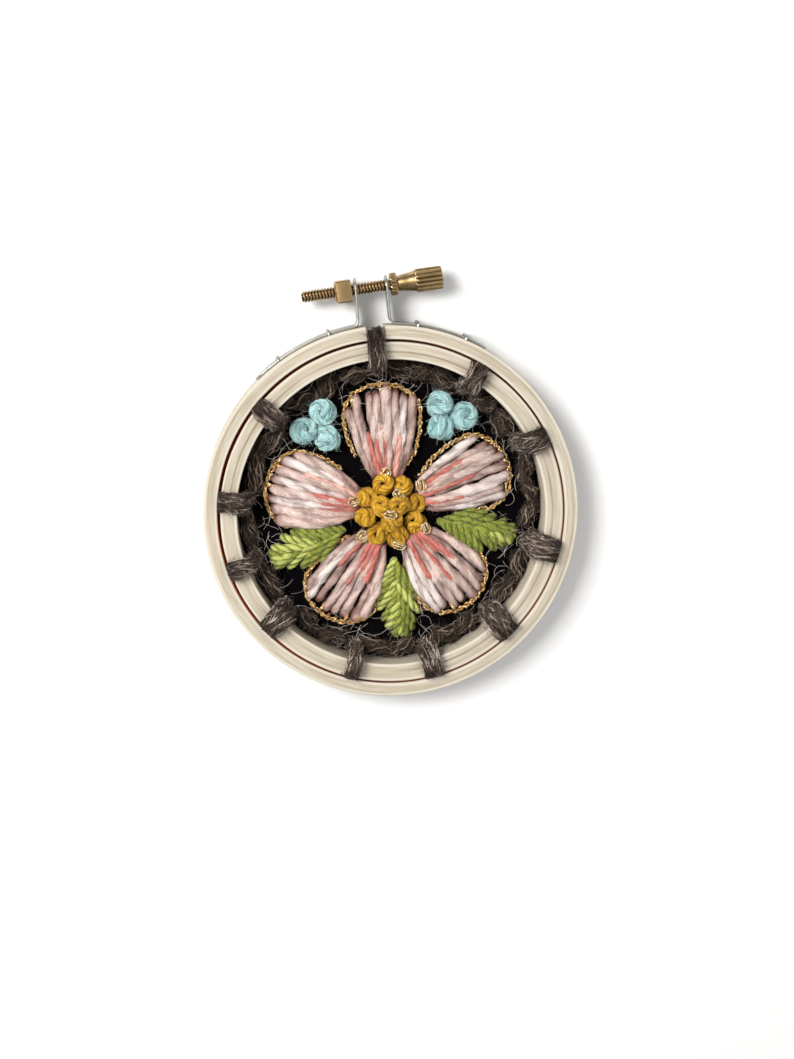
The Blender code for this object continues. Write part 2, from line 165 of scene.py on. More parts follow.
def bump(tree, shader, height, distance, strength=1.0):
    node = tree.nodes.new("ShaderNodeBump")
    node.inputs["Distance"].default_value = distance * mm
    node.inputs["Strength"].default_value = strength
    link(tree, height, node.inputs["Height"])
    link(tree, node.outputs[0], shader.inputs["Normal"])


# Fibres that run along a strand, the grooves between its plies and a random number for each strand
def makeFibreGroup():
    group, start, end = newGroup(
        "strandFibres",
        (("Along", "NodeSocketFloat", 6.0), ("Around", "NodeSocketFloat", 2.0),
         ("Slant", "NodeSocketFloat", 1.0), ("Plies", "NodeSocketFloat", 2.0)),
        (("Streaks", "NodeSocketFloat"), ("Tone", "NodeSocketFloat"), ("Groove", "NodeSocketFloat"),
         ("Random", "NodeSocketFloat")),
    )
    uv = group.nodes.new("ShaderNodeUVMap")
    split = group.nodes.new("ShaderNodeSeparateXYZ")
    link(group, uv.outputs[0], split.inputs[0])
    geometry = group.nodes.new("ShaderNodeNewGeometry")
    islandRandom = geometry.outputs["Random Per Island"]
    turn = mathNode(group, "MULTIPLY", split.outputs[1], math.tau)
    slope = mathNode(group, "MULTIPLY", split.outputs[0], start.outputs["Slant"])
    slanted = mathNode(group, "ADD", turn, slope)
    x = mathNode(group, "MULTIPLY", mathNode(group, "COSINE", slanted), start.outputs["Around"])
    y = mathNode(group, "MULTIPLY", mathNode(group, "SINE", slanted), start.outputs["Around"])
    z = mathNode(group, "MULTIPLY", split.outputs[0], start.outputs["Along"])
    z = mathNode(group, "ADD", z, mathNode(group, "MULTIPLY", islandRandom, 40.0))
    vector = combine(group, x, y, z)
    streaks = noiseNode(group, vector, 2.2, 3.0, 0.7)
    link(group, rangeNode(group, streaks, 0.34, 0.66), end.inputs["Streaks"])
    broad = noiseNode(group, vector, 0.7, 2.0, 0.5)
    tone = mathNode(group, "MULTIPLY", islandRandom, 0.6)
    tone = mathNode(group, "ADD", tone, mathNode(group, "MULTIPLY", broad, 0.5))
    link(group, tone, end.inputs["Tone"])
    plies = mathNode(group, "COSINE", mathNode(group, "MULTIPLY", turn, start.outputs["Plies"]))
    link(group, rangeNode(group, plies, -0.2, -1.0), end.inputs["Groove"])
    link(group, islandRandom, end.inputs["Random"])
    return group


# Growth lines that follow the ring round, from the angle and the distance
def makeRingGrainGroup():
    group, start, end = newGroup(
        "ringGrain",
        (("Position", "NodeSocketVector", None), ("Fineness", "NodeSocketFloat", 1.0)),
        (("Grain", "NodeSocketFloat"), ("Blotches", "NodeSocketFloat"), ("Distance", "NodeSocketFloat")),
    )
    split = group.nodes.new("ShaderNodeSeparateXYZ")
    link(group, start.outputs["Position"], split.inputs[0])
    x, y, z = split.outputs
    # the jump of the angle lies at +Y, in the split and under its lashing
    angle = mathNode(group, "ARCTAN2", x, mathNode(group, "MULTIPLY", y, -1.0))
    squares = mathNode(group, "ADD", mathNode(group, "MULTIPLY", x, x), mathNode(group, "MULTIPLY", y, y))
    distance = mathNode(group, "SQRT", squares)
    fineness = start.outputs["Fineness"]
    # long lines round the ring, fine ones across its width and its depth
    along = mathNode(group, "MULTIPLY", angle, 5.5)
    across = mathNode(group, "MULTIPLY", mathNode(group, "MULTIPLY", distance, 2600.0), fineness)
    up = mathNode(group, "MULTIPLY", mathNode(group, "MULTIPLY", z, 1500.0), fineness)
    vector = combine(group, along, across, up)
    link(group, rangeNode(group, noiseNode(group, vector, 1.0, 4.0, 0.6), 0.3, 0.72), end.inputs["Grain"])
    link(group, noiseNode(group, start.outputs["Position"], 60.0, 2.0), end.inputs["Blotches"])
    link(group, distance, end.inputs["Distance"])
    return group


# Tarnish, bright wear and darkening in crevices for metal
def makeWearGroup():
    group, start, end = newGroup(
        "metalWear",
        (("Position", "NodeSocketVector", None), ("Scale", "NodeSocketFloat", 400.0)),
        (("Tarnish", "NodeSocketFloat"), ("Wear", "NodeSocketFloat"), ("Crevice", "NodeSocketFloat"),
         ("Scratches", "NodeSocketFloat")),
    )
    geometry = group.nodes.new("ShaderNodeNewGeometry")
    position = start.outputs["Position"]
    blotch = group.nodes.new("ShaderNodeTexNoise")
    blotch.inputs["Detail"].default_value = 4.0
    link(group, position, blotch.inputs["Vector"])
    link(group, start.outputs["Scale"], blotch.inputs["Scale"])
    link(group, rangeNode(group, blotch.outputs["Fac"], 0.35, 0.7), end.inputs["Tarnish"])
    link(group, rangeNode(group, geometry.outputs["Pointiness"], 0.5, 0.56), end.inputs["Wear"])
    link(group, rangeNode(group, geometry.outputs["Pointiness"], 0.492, 0.455), end.inputs["Crevice"])
    link(group, noiseNode(group, position, 3500.0, 2.0), end.inputs["Scratches"])
    return group


fibreGroup = makeFibreGroup()
grainGroup = makeRingGrainGroup()
wearGroup = makeWearGroup()


def useGroup(tree, group, **values):
    node = tree.nodes.new("ShaderNodeGroup")
    node.node_tree = group
    for label, value in values.items():
        node.inputs[label].default_value = value
    return node


def objectPosition(tree):
    return tree.nodes.new("ShaderNodeTexCoord").outputs["Object"]


# Yarn whose fibres run along the strand
# heart tints it by distance from the middle, shade paints shade by height, and pale is the colour of the odd
# strand
def woolMaterial(name, light, dark, along=7.0, around=2.0, slant=1.0, plies=2, groove=0.4,
                 shades=(0.8, 1.15), roughness=0.9, sheen=0.12, height=0.12, heart=None, pale=None,
                 shade=None):
    material, tree, shader = newMaterial(name, roughness, Sheen_Weight=sheen, Sheen_Roughness=0.45)
    shader.inputs["Specular IOR Level"].default_value = 0.25
    fibres = useGroup(tree, fibreGroup, Along=along, Around=around, Slant=slant, Plies=plies)
    colour = colourMix(tree, fibres.outputs["Streaks"], dark, light)
    if pale:
        odd = rangeNode(tree, fibres.outputs["Random"], 0.72, 0.76, 0.0, 0.9)
        colour = colourMix(tree, odd, colour, pale)
    # heart is a tint by distance from the middle; on the lashings it is painted shade in the gap
    if heart:
        length = tree.nodes.new("ShaderNodeVectorMath")
        length.operation = "LENGTH"
        link(tree, objectPosition(tree), length.inputs[0])
        reach = length.outputs["Value"]
        near = rangeNode(tree, reach, heart["from"] * mm, heart["to"] * mm, heart["share"], 0.0)
        taken = rangeNode(tree, fibres.outputs["Streaks"], 0.0, 1.0, 1.0, 0.45)
        colour = colourMix(tree, mathNode(tree, "MULTIPLY", near, taken), colour, heart["colour"])
    # painted shade in the grooves between the plies
    deep = tuple(part * 0.5 for part in dark)
    colour = colourMix(tree, mathNode(tree, "MULTIPLY", fibres.outputs["Groove"], groove), colour, deep)
    tone = rangeNode(tree, fibres.outputs["Tone"], 0.1, 1.0, *shades)
    colour = colourMix(tree, 1.0, colour, combine(tree, tone, tone, tone), "MULTIPLY")
    if shade:
        split = tree.nodes.new("ShaderNodeSeparateXYZ")
        link(tree, objectPosition(tree), split.inputs[0])
        level = split.outputs[2]
        # painted shade, darker the lower the surface lies
        paintedShade = rangeNode(tree, level, shade["from"] * mm, shade["to"] * mm, shade["share"], 0.0)
        colour = colourMix(tree, paintedShade, colour, shade["colour"])
    link(tree, colour, shader.inputs["Base Color"])
    bump(tree, shader, fibres.outputs["Streaks"], height)
    return material


beech = {
    "roughness": 0.62,
    "dark": (0.40, 0.33, 0.23), "light": (0.62, 0.58, 0.475), "blotch": (0.61, 0.525, 0.415),
    # joint lines of the bent strips that each ring is glued up from, and painted shade in the gap between
    # the rings:
    # distance, flat part, width, strength, least patch and colour, a stain on the joint lines and painted
    # shade in the gap
    "lines": ((36.35, 0.0, 0.34, 0.6, 0.0, (0.13, 0.05, 0.022)),
              (41.2, 0.0, 0.3, 0.25, 0.0, (0.13, 0.05, 0.022)),
              (38.9, 0.17, 0.34, 0.95, 1.0, (0.19, 0.055, 0.02))),
    # painted reddish glow on the shaded wall inside the gap, where it is widest
    "wall": {"distance": 39.0, "angle": 168, "colour": (0.90, 0.21, 0.05)},
    # painted highlights on the arrises
    "edges": (35.05, 38.3, 39.5, 41.85), "edge": (0.79, 0.75, 0.665),
}


def makeWood():
    material, tree, shader = newMaterial("paleBeech", beech["roughness"])
    shader.inputs["Specular IOR Level"].default_value = 0.3
    position = objectPosition(tree)
    grain = useGroup(tree, grainGroup, Fineness=1.0)
    link(tree, position, grain.inputs["Position"])
    colour = colourMix(tree, grain.outputs["Grain"], beech["dark"], beech["light"])
    blotch = rangeNode(tree, grain.outputs["Blotches"], 0.35, 0.75, 0.0, 0.4)
    colour = colourMix(tree, blotch, colour, beech["blotch"])

    def awayFrom(at):
        return mathNode(tree, "ABSOLUTE", mathNode(tree, "SUBTRACT", grain.outputs["Distance"], at * mm))

    # stained joint lines, and painted shade in the gap between the rings
    for at, flat, width, strength, least, stainAndShade in beech["lines"]:
        line = rangeNode(tree, awayFrom(at), flat * mm, width * mm, strength, 0.0)
        patchy = rangeNode(tree, noiseNode(tree, position, 26.0, 2.0), 0.47, 0.58, least, 1.0)
        colour = colourMix(tree, mathNode(tree, "MULTIPLY", line, patchy), colour, stainAndShade)
    # painted reddish glow on the shaded wall in the gap, below the top and most towards the widest side
    side = tree.nodes.new("ShaderNodeVectorMath")
    side.operation = "DOT_PRODUCT"
    link(tree, position, side.inputs[0])
    side.inputs[1].default_value = polar(beech["wall"]["angle"], 1.0)
    height = tree.nodes.new("ShaderNodeSeparateXYZ")
    link(tree, position, height.inputs[0])
    wall = rangeNode(tree, awayFrom(beech["wall"]["distance"]), 0.25 * mm, 0.5 * mm, 1.0, 0.0)
    below = rangeNode(tree, height.outputs[2], 8.95 * mm, 8.7 * mm)
    near = rangeNode(tree, side.outputs["Value"], 4 * mm, 34 * mm)
    wall = mathNode(tree, "MULTIPLY", mathNode(tree, "MULTIPLY", wall, below), near)
    colour = colourMix(tree, wall, colour, beech["wall"]["colour"])
    # painted highlights along the arrises
    for at in beech["edges"]:
        light = rangeNode(tree, awayFrom(at), 0.12 * mm, 0.4 * mm, 0.5, 0.0)
        colour = colourMix(tree, light, colour, beech["edge"])
    link(tree, colour, shader.inputs["Base Color"])
    bump(tree, shader, grain.outputs["Grain"], 0.06, 0.6)
    return material


# edge is painted warm light from the wood on the turned-up edge between the rings
cotton = {"roughness": 0.95, "threads": 560.0,
          "dark": (0.0015, 0.0012, 0.0016), "light": (0.006, 0.005, 0.006),
          "lint": (0.025, 0.021, 0.02), "edge": (0.20, 0.045, 0.015)}


def makeCloth():
    material, tree, shader = newMaterial("blackCotton", cotton["roughness"])
    shader.inputs["Specular IOR Level"].default_value = 0.04
    position = objectPosition(tree)
    threads = []
    for axis in ("X", "Y"):
        wave = tree.nodes.new("ShaderNodeTexWave")
        wave.bands_direction = axis
        wave.inputs["Scale"].default_value = cotton["threads"]
        wave.inputs["Distortion"].default_value = 0.6
        wave.inputs["Detail"].default_value = 1.0
        link(tree, position, wave.inputs["Vector"])
        threads.append(wave.outputs["Fac"])
    weave = mathNode(tree, "MULTIPLY", threads[0], threads[1])
    colour = colourMix(tree, weave, cotton["dark"], cotton["light"])
    lint = rangeNode(tree, noiseNode(tree, position, 900.0, 4.0, 0.7), 0.62, 0.75, 0.0, 0.2)
    colour = colourMix(tree, lint, colour, cotton["lint"])
    # painted warm light from the wood on the turned-up edge between the rings
    height = tree.nodes.new("ShaderNodeSeparateXYZ")
    link(tree, position, height.inputs[0])
    paintedWarmLight = rangeNode(tree, height.outputs[2], 3.0 * mm, 5.6 * mm)
    colour = colourMix(tree, paintedWarmLight, colour, cotton["edge"])
    link(tree, colour, shader.inputs["Base Color"])
    bump(tree, shader, weave, 0.12)
    return material


def metalMaterial(name, bright, dulledColour, roughness, tarnish=0.7):
    material, tree, shader = newMaterial(name, roughness, Metallic=1.0)
    wear = useGroup(tree, wearGroup)
    link(tree, objectPosition(tree), wear.inputs["Position"])
    dull = mathNode(tree, "MULTIPLY", wear.outputs["Tarnish"], tarnish)
    # also darker in the crevices
    dull = mathNode(tree, "MAXIMUM", dull, wear.outputs["Crevice"])
    dull = mathNode(tree, "MULTIPLY", dull, mathNode(tree, "SUBTRACT", 1.0, wear.outputs["Wear"]))
    link(tree, colourMix(tree, dull, bright, dulledColour), shader.inputs["Base Color"])
    link(tree, rangeNode(tree, dull, 0.0, 1.0, roughness, roughness + 0.25), shader.inputs["Roughness"])
    bump(tree, shader, wear.outputs["Scratches"], 0.01, 0.5)
    return material


# Foil thread with painted glints and painted shade in dark folds, a few tenths of a millimetre long
def makeGoldThread(name, deep, middle, bright, metallic):
    material, tree, shader = newMaterial(name, 0.3, Metallic=metallic)
    paintedGlintsAndFolds = noiseNode(tree, objectPosition(tree), 2300.0, 2.0, 0.6)
    # deep is painted shade in the folds and bright is painted glints
    colour = colourMix(tree, rangeNode(tree, paintedGlintsAndFolds, 0.38, 0.52), deep, middle)
    colour = colourMix(tree, rangeNode(tree, paintedGlintsAndFolds, 0.53, 0.6), colour, bright)
    link(tree, colour, shader.inputs["Base Color"])
    link(tree, rangeNode(tree, paintedGlintsAndFolds, 0.4, 0.6, 0.42, 0.16), shader.inputs["Roughness"])
    bump(tree, shader, paintedGlintsAndFolds, 0.12)
    return material


wood = makeWood()
blackCotton = makeCloth()
steel = metalMaterial("zincPlatedSteel", (0.46, 0.47, 0.44), (0.14, 0.15, 0.13), 0.34, tarnish=0.85)
brass = metalMaterial("agedBrass", (0.50, 0.35, 0.17), (0.06, 0.034, 0.012), 0.24, tarnish=0.8)
goldThread = makeGoldThread("goldThread", (0.20, 0.07, 0.012), (0.90, 0.53, 0.16), (1.0, 0.92, 0.62), 0.6)
paleGold = makeGoldThread("paleGoldThread", (0.28, 0.11, 0.02), (0.98, 0.72, 0.32), (1.0, 0.97, 0.84), 0.4)
pinkWool = woolMaterial(
    "pinkWool", (1.0, 0.89, 0.83), (0.72, 0.42, 0.34), along=6.0, around=2.8, slant=1.2, groove=0.3,
    height=0.2, shades=(0.95, 1.22), pale=(1.0, 0.92, 0.87),
    heart={"from": 7.0, "to": 18.0, "share": 0.6, "colour": (0.85, 0.38, 0.28)},
    shade={"from": 2.9, "to": 4.4, "share": 0.95, "colour": (0.20, 0.055, 0.038)})
coralWool = woolMaterial(
    "coralWool", (0.96, 0.40, 0.32), (0.62, 0.10, 0.08), around=1.6, slant=4.0, groove=0.3,
    shades=(0.75, 1.2), pale=(1.0, 0.66, 0.56))
greenWool = woolMaterial(
    "greenWool", (0.66, 0.72, 0.13), (0.13, 0.18, 0.008), along=6.0, around=1.5, slant=6.0, plies=3,
    groove=0.7, height=0.2, shades=(0.66, 1.25), pale=(0.70, 0.77, 0.20),
    shade={"from": 1.6, "to": 3.7, "share": 0.9, "colour": (0.022, 0.035, 0.004)})
blueWool = woolMaterial(
    "blueWool", (0.66, 0.95, 0.93), (0.17, 0.49, 0.52), along=8.0, around=2.2, slant=7.0, groove=0.7,
    height=0.3, shades=(0.9, 1.2),
    shade={"from": 1.5, "to": 3.8, "share": 0.75, "colour": (0.04, 0.16, 0.19)})
blueFibres = woolMaterial("blueFibres", (0.86, 1.0, 0.98), (0.50, 0.84, 0.84), groove=0.0, height=0.0)
mustardCotton = woolMaterial(
    "mustardCotton", (0.93, 0.60, 0.04), (0.42, 0.155, 0.003), along=10.0, around=1.4, plies=4, groove=0.6,
    height=0.1, shades=(0.75, 1.15), roughness=0.36, sheen=0.1,
    shade={"from": 1.8, "to": 4.6, "share": 0.85, "colour": (0.13, 0.035, 0.0)})
# darker copy of the lashings' roving: painted shade on the border stitches, with more shade painted by
# height
shadedBorderRoving = woolMaterial(
    "shadedBorderRoving", (0.25, 0.165, 0.115), (0.018, 0.009, 0.005), along=3.2, around=1.3, slant=1.5, groove=0.5,
    height=0.2, shades=(0.08, 1.6), roughness=0.95, sheen=0.05, pale=(0.60, 0.46, 0.35),
    shade={"from": 1.5, "to": 4.0, "share": 0.85, "colour": (0.012, 0.006, 0.003)})
lashedRoving = woolMaterial(
    "lashedRoving", (0.44, 0.31, 0.24), (0.035, 0.019, 0.012), along=3.2, around=1.3, slant=1.5, groove=0.5,
    height=0.2, shades=(0.08, 1.6), roughness=0.95, sheen=0.05, pale=(0.92, 0.77, 0.66),
    # heart here paints shade where the roving goes down into the gap between the rings
    heart={"from": 39.5, "to": 37.5, "share": 0.95, "colour": (0.045, 0.014, 0.008)})
# much darker copy of the roving for the cores inside the tufts: painted shade
shadedCoreRoving = woolMaterial(
    "shadedCoreRoving", (0.10, 0.06, 0.04), (0.012, 0.006, 0.004), along=3.2, around=1.3, groove=0.5,
    height=0.2, roughness=0.95, sheen=0.0)
shedFibres = woolMaterial(
    "shedFibres", (0.76, 0.69, 0.64), (0.42, 0.35, 0.30), groove=0.0, height=0.0, sheen=0.1)
print("materials ready")


# Strands

# Closed outline of one strand, with a lobe for each ply
def profileCurve(sides, lobes, depth):
    curve = bpy.data.curves.new("profile", "CURVE")
    spline = curve.splines.new("POLY")
    spline.points.add(sides - 1)
    spline.use_cyclic_u = True
    for i, point in enumerate(spline.points):
        turn = math.tau * i / sides
        reach = 1 + depth * math.cos(lobes * turn)
        point.co = (reach * math.cos(turn), reach * math.sin(turn), 0, 1)
    thing = bpy.data.objects.new("profile", curve)
    bpy.context.collection.objects.link(thing)
    return thing


# Bmesh in metres of strands: each has points in mm, a radius and a twist at every point
def strandMesh(strands, sides=12, lobes=0, depth=0.0):
    profile = profileCurve(sides, lobes, depth)
    curve = bpy.data.curves.new("strands", "CURVE")
    curve.dimensions = "3D"
    curve.bevel_mode = "OBJECT"
    curve.bevel_object = profile
    curve.use_fill_caps = True
    for strand in strands:
        spline = curve.splines.new("POLY")
        spline.use_smooth = True
        spline.points.add(len(strand["points"]) - 1)
        places = [number for p in strand["points"] for number in (p.x * mm, p.y * mm, p.z * mm, 1)]
        spline.points.foreach_set("co", places)
        spline.points.foreach_set("radius", [r * mm for r in strand["radius"]])
        if "twist" in strand:
            spline.points.foreach_set("tilt", strand["twist"])
    thing = bpy.data.objects.new("strands", curve)
    bpy.context.collection.objects.link(thing)
    graph = bpy.context.evaluated_depsgraph_get()
    mesh = bpy.data.meshes.new_from_object(thing.evaluated_get(graph))
    bm = bmesh.new()
    bm.from_mesh(mesh)
    bpy.data.meshes.remove(mesh)
    for used in (thing, profile):
        data = used.data
        bpy.data.objects.remove(used)
        bpy.data.curves.remove(data)
    bmesh.ops.remove_doubles(bm, verts=bm.verts, dist=0.0005 * mm)
    bmesh.ops.recalc_face_normals(bm, faces=bm.faces)
    return bm


# Push a surface in and out with soft noise, both given in mm
def roughen(bm, amount, size, seed=0.0):
    bm.normal_update()
    shift = Vector((seed * 7.3, seed * 3.1, seed * 1.7))
    for vert in bm.verts:
        push = noise.noise(vert.co / (size * mm) + shift)
        vert.co += vert.normal * push * amount * mm


# Move another bmesh's faces into this one, with one of the piece's materials
def addMesh(bm, other, index=0):
    for face in other.faces:
        face.material_index = index
    mesh = bpy.data.meshes.new("joined")
    other.to_mesh(mesh)
    other.free()
    bm.from_mesh(mesh)
    bpy.data.meshes.remove(mesh)


# Smooth point of a route of tuples at a share of its points
def curvePoint(route, share):
    at = share * (len(route) - 1)
    i = min(int(at), len(route) - 2)
    t = at - i
    rows = [route[max(min(i + k, len(route) - 1), 0)] for k in (-1, 0, 1, 2)]
    out = []
    for a, b, c, d in zip(*rows):
        square = (2 * a - 5 * b + 4 * c - d) * t * t
        cube = (3 * b - a - 3 * c + d) * t ** 3
        out.append(0.5 * (2 * b + (c - a) * t + square + cube))
    return out


# Strand with plies that turn once in a pitch, thick and thin along it, and closed ends
def strandAlong(points, radius, pitch=5.0, ends=0.12, start=0.0, rng=None, uneven=0.0):
    count = len(points)
    length = 0.0
    radii, twists = [], []
    phase = rng.uniform(0, 50) if rng else 0.0
    for i, point in enumerate(points):
        length += (point - points[max(i - 1, 0)]).length
        share = i / (count - 1)
        taper = min(share, 1 - share) / ends if ends else 1.0
        taper = math.sqrt(max(1 - (1 - min(taper, 1.0)) ** 2, 0.04))
        wave = 1 + uneven * noise.noise(Vector((phase, length * 0.35, 0)))
        here = radius(share) if callable(radius) else radius
        radii.append(here * taper * wave)
        twists.append(start + math.tau * length / pitch)
    return {"points": points, "radius": radii, "twist": twists}


# Keep a stray fibre above the cloth and out of the wooden rings
def keepClear(point):
    point.z = max(point.z, clothFace - 0.1)
    reach = point.xy.length
    wall = hoop["innerIn"] - 0.15
    if reach > wall and point.z < hoop["depth"] + 0.1:
        point.z = hoop["depth"] + 0.12 if point.z > hoop["depth"] - 0.8 else point.z
        if point.z < hoop["depth"]:
            point.xy *= wall / reach
    return point


# Loose fibres that start on the strands' surface and curl away
def fuzz(strands, count, rng, length=(0.8, 2.4), thick=0.028, lift=0.8, wander=0.5, within=50.0):
    fibres = []
    for _ in range(count):
        strand = rng.choice(strands)
        points = strand["points"]
        i = rng.randrange(1, len(points) - 1)
        along = (points[i + 1] - points[i - 1]).normalized()
        away = Vector([rng.gauss(0, 1) for _ in range(3)]) + Vector((0, 0, 0.6))
        away = (away - along * away.dot(along)).normalized()
        at = points[i] + away * strand["radius"][i] * 0.9
        heading = (away * lift + along * rng.uniform(-1.2, 1.2)).normalized()
        curl = Vector([rng.gauss(0, 1) for _ in range(3)]) * wander
        total = rng.uniform(*length)
        steps = 6
        route = [keepClear(at.copy())]
        for _ in range(steps):
            heading = (heading + curl / steps + Vector([rng.gauss(0, 0.14) for _ in range(3)])).normalized()
            at = at + heading * total / steps
            route.append(keepClear(at.copy()))
        if max(point.xy.length for point in route) > within:
            continue
        radii = [thick * (1 - 0.75 * k / steps) for k in range(steps + 1)]
        fibres.append({"points": route, "radius": radii})
    return strandMesh(fibres, sides=3)


# Fine fibres that run along the strands' surface, some of them only part of the way
def surfaceFibres(strands, each, rng, thick=0.045, turns=0.6):
    fibres = []
    for strand in strands:
        points, radii = strand["points"], strand["radius"]
        last = len(points) - 1
        sides = []
        side = (points[1] - points[0]).orthogonal()
        for i in range(last + 1):
            ahead = (points[min(i + 1, last)] - points[max(i - 1, 0)]).normalized()
            side = (side - ahead * side.dot(ahead)).normalized()
            sides.append((side, ahead.cross(side)))
        for _ in range(each):
            first = rng.randrange(0, last // 2)
            until = rng.randrange(first + last // 3, last + 1)
            turn, phase = rng.uniform(0, math.tau), rng.uniform(0, 50)
            lean = rng.uniform(-0.4, 1.0) * turns * math.tau / last
            route = []
            for i in range(first, until, 2):
                across, over = sides[i]
                a = turn + lean * i + 0.7 * noise.noise(Vector((phase, i * 0.13, 0)))
                reach = radii[i] * (1.01 + 0.1 * noise.noise(Vector((phase, i * 0.3, 7))))
                route.append(points[i] + (across * math.cos(a) + over * math.sin(a)) * reach)
            if len(route) > 3:
                taper = [thick * 0.4] + [thick] * (len(route) - 2) + [thick * 0.3]
                fibres.append({"points": route, "radius": taper})
    return strandMesh(fibres, sides=3)


# Hoop

# Section of a ring, with rounded corners
def ringProfile(inside, outside, low, high, rounding):
    section = []
    for r, z, first in ((outside - rounding, low + rounding, 270), (outside - rounding, high - rounding, 0),
                        (inside + rounding, high - rounding, 90), (inside + rounding, low + rounding, 180)):
        for step in range(5):
            turn = math.radians(first + 90 * step / 4)
            section.append((r + rounding * math.cos(turn), z + rounding * math.sin(turn)))
    return section


# How far the inner ring's outside stands in from round: most at the upper left
def offCentre(spot):
    towards = polar(hoop["widestGap"], 1.0)
    return hoop["offCentre"] * Vector((spot.x, spot.y, 0)).normalized().dot(towards)


# Ring spun from its section, a little uneven as steamed wood is
def makeRing(name, settings):
    section = ringProfile(settings["inside"], settings["outside"], settings["low"], hoop["depth"],
                          settings["rounding"])
    half = math.degrees(settings["split"] / (settings["inside"] + settings["outside"]))
    bm = bmesh.new()
    ring = [bm.verts.new(polar(90 + half, r, z) * mm) for r, z in section]
    edges = [bm.edges.new((a, b)) for a, b in zip(ring, ring[1:] + ring[:1])]
    whole = settings["split"] == 0
    bmesh.ops.spin(bm, geom=ring + edges, cent=(0, 0, 0), axis=(0, 0, 1), dvec=(0, 0, 0),
                   angle=math.radians(360 - 2 * half), steps=settings["steps"], use_merge=whole)
    ends = [edge for edge in bm.edges if edge.is_boundary]
    if ends:
        bmesh.ops.holes_fill(bm, edges=ends, sides=0)
    bmesh.ops.recalc_face_normals(bm, faces=bm.faces)
    for vert in bm.verts:
        spot = vert.co / mm
        reach = spot.xy.length
        push = 0.05 * noise.noise(spot * 0.12) + 0.012 * noise.noise(spot * 0.9)
        if hoop["innerIn"] + 1.5 < reach < hoop["innerOut"] + 0.2:
            push -= offCentre(spot)
        vert.co += Vector((spot.x, spot.y, 0)).normalized() * push * mm
    ring = piece(name, bm, wood, angle=40)
    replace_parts(ring, settings["node"])


outerRing = {"node": "outer_ring", "inside": hoop["outerIn"], "outside": hoop["outerOut"], "low": 0.0,
             "rounding": 0.24, "split": hoop["split"], "steps": 260}
innerRing = {"node": "inner_ring", "inside": hoop["innerIn"], "outside": hoop["innerOut"], "low": clothFace,
             "rounding": 0.24, "split": 0.0, "steps": 260}
makeRing("outerRing", outerRing)
makeRing("innerRing", innerRing)
print("rings ready")


# Stitched flower

petals = {"angles": (90, 162, 234, 306, 18), "start": 8.7, "tip": 28.9, "innerWidth": 7.6, "width": 17.6,
          "rounding": 7.0, "strands": 8, "radius": 1.12, "crown": 4.6, "pitch": (12, 22), "steps": 44,
          "fibres": 26, "fuzz": 300}
# each accent stitch's place across its petal, and how far it reaches
coral = {"places": ((-0.5, 0.55), (0.0, 0.62), (0.5, 0.5), (0.26, 0.34)), "radius": 0.66, "steps": 30,
         "fibres": 14, "fuzz": 300}


# Point of a petal in plan: across runs from side to side and v from the heart to the tip
def petalPoint(angle, across, v):
    outwards, sideways = axesAt(angle)
    grow = math.sin(math.pi / 2 * max(v, 0.0) ** 0.8)
    halfWidth = petals["innerWidth"] / 2 + (petals["width"] - petals["innerWidth"]) / 2 * grow
    if v < 0:
        halfWidth *= 1 + v * 1.6
    tip = petals["tip"] - petals["rounding"] * (1 - math.sqrt(max(1 - across * across, 0)))
    distance = petals["start"] + (tip - petals["start"]) * v
    return outwards * distance + sideways * halfWidth * across


# Height of a strand's middle: it dives into the cloth at both ends
def petalLevel(v, radius, lift):
    rise = max(min((v + 0.14) / 0.12, 1.0), 0.0), max(min((1.0 - v) / 0.09, 1.0), 0.0)
    arch = math.sin(math.pi * min(max((v + 0.14) / 1.14, 0), 1)) ** 0.6
    level = clothFace + radius * 0.8 + arch * lift
    return mix(clothFace - 0.4, level, smooth(rise[0]) * smooth(rise[1] * 0.85 + 0.15))


# Long stitches side by side, from under the centre knots to the petal's tip
def makePetal(number, angle):
    rng = random.Random(100 + number)
    strands = []
    count, steps = petals["strands"], petals["steps"]
    for k in range(count):
        across = (2 * k + 1) / count - 1
        shift = rng.uniform(-0.06, 0.06)
        lift = petals["crown"] - clothFace - 2 * petals["radius"] + rng.uniform(-0.55, 0.7)
        last = 1.0 + rng.uniform(-0.08, 0.02)
        bend = rng.uniform(-0.07, 0.07)
        points = []
        for i in range(steps + 1):
            v = mix(-0.13, last, i / steps)
            sway = bend * math.sin(v * math.pi)
            point = petalPoint(angle, max(min(across * 0.97 + shift * v + sway, 0.99), -0.99), v)
            point.z = petalLevel(v / last, petals["radius"], lift)
            points.append(point)
        swell = rng.uniform(0.86, 1.18)
        strands.append(strandAlong(
            points, lambda share: petals["radius"] * swell * mix(0.55, 1.0, smooth(share * 1.7)),
            pitch=rng.uniform(*petals["pitch"]), ends=0.09, start=rng.uniform(0, 6), rng=rng, uneven=0.3))
    bm = strandMesh(strands, sides=20, lobes=2, depth=0.1)
    roughen(bm, 0.18, 0.8, number)
    addMesh(bm, surfaceFibres(strands, petals["fibres"], rng))
    addMesh(bm, fuzz(strands, petals["fuzz"], rng, length=(0.8, 2.4), thick=0.03, wander=0.9))
    wool = piece(f"petalWool{number}", bm, pinkWool, angle=80)
    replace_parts(wool, f"petal_{number}")


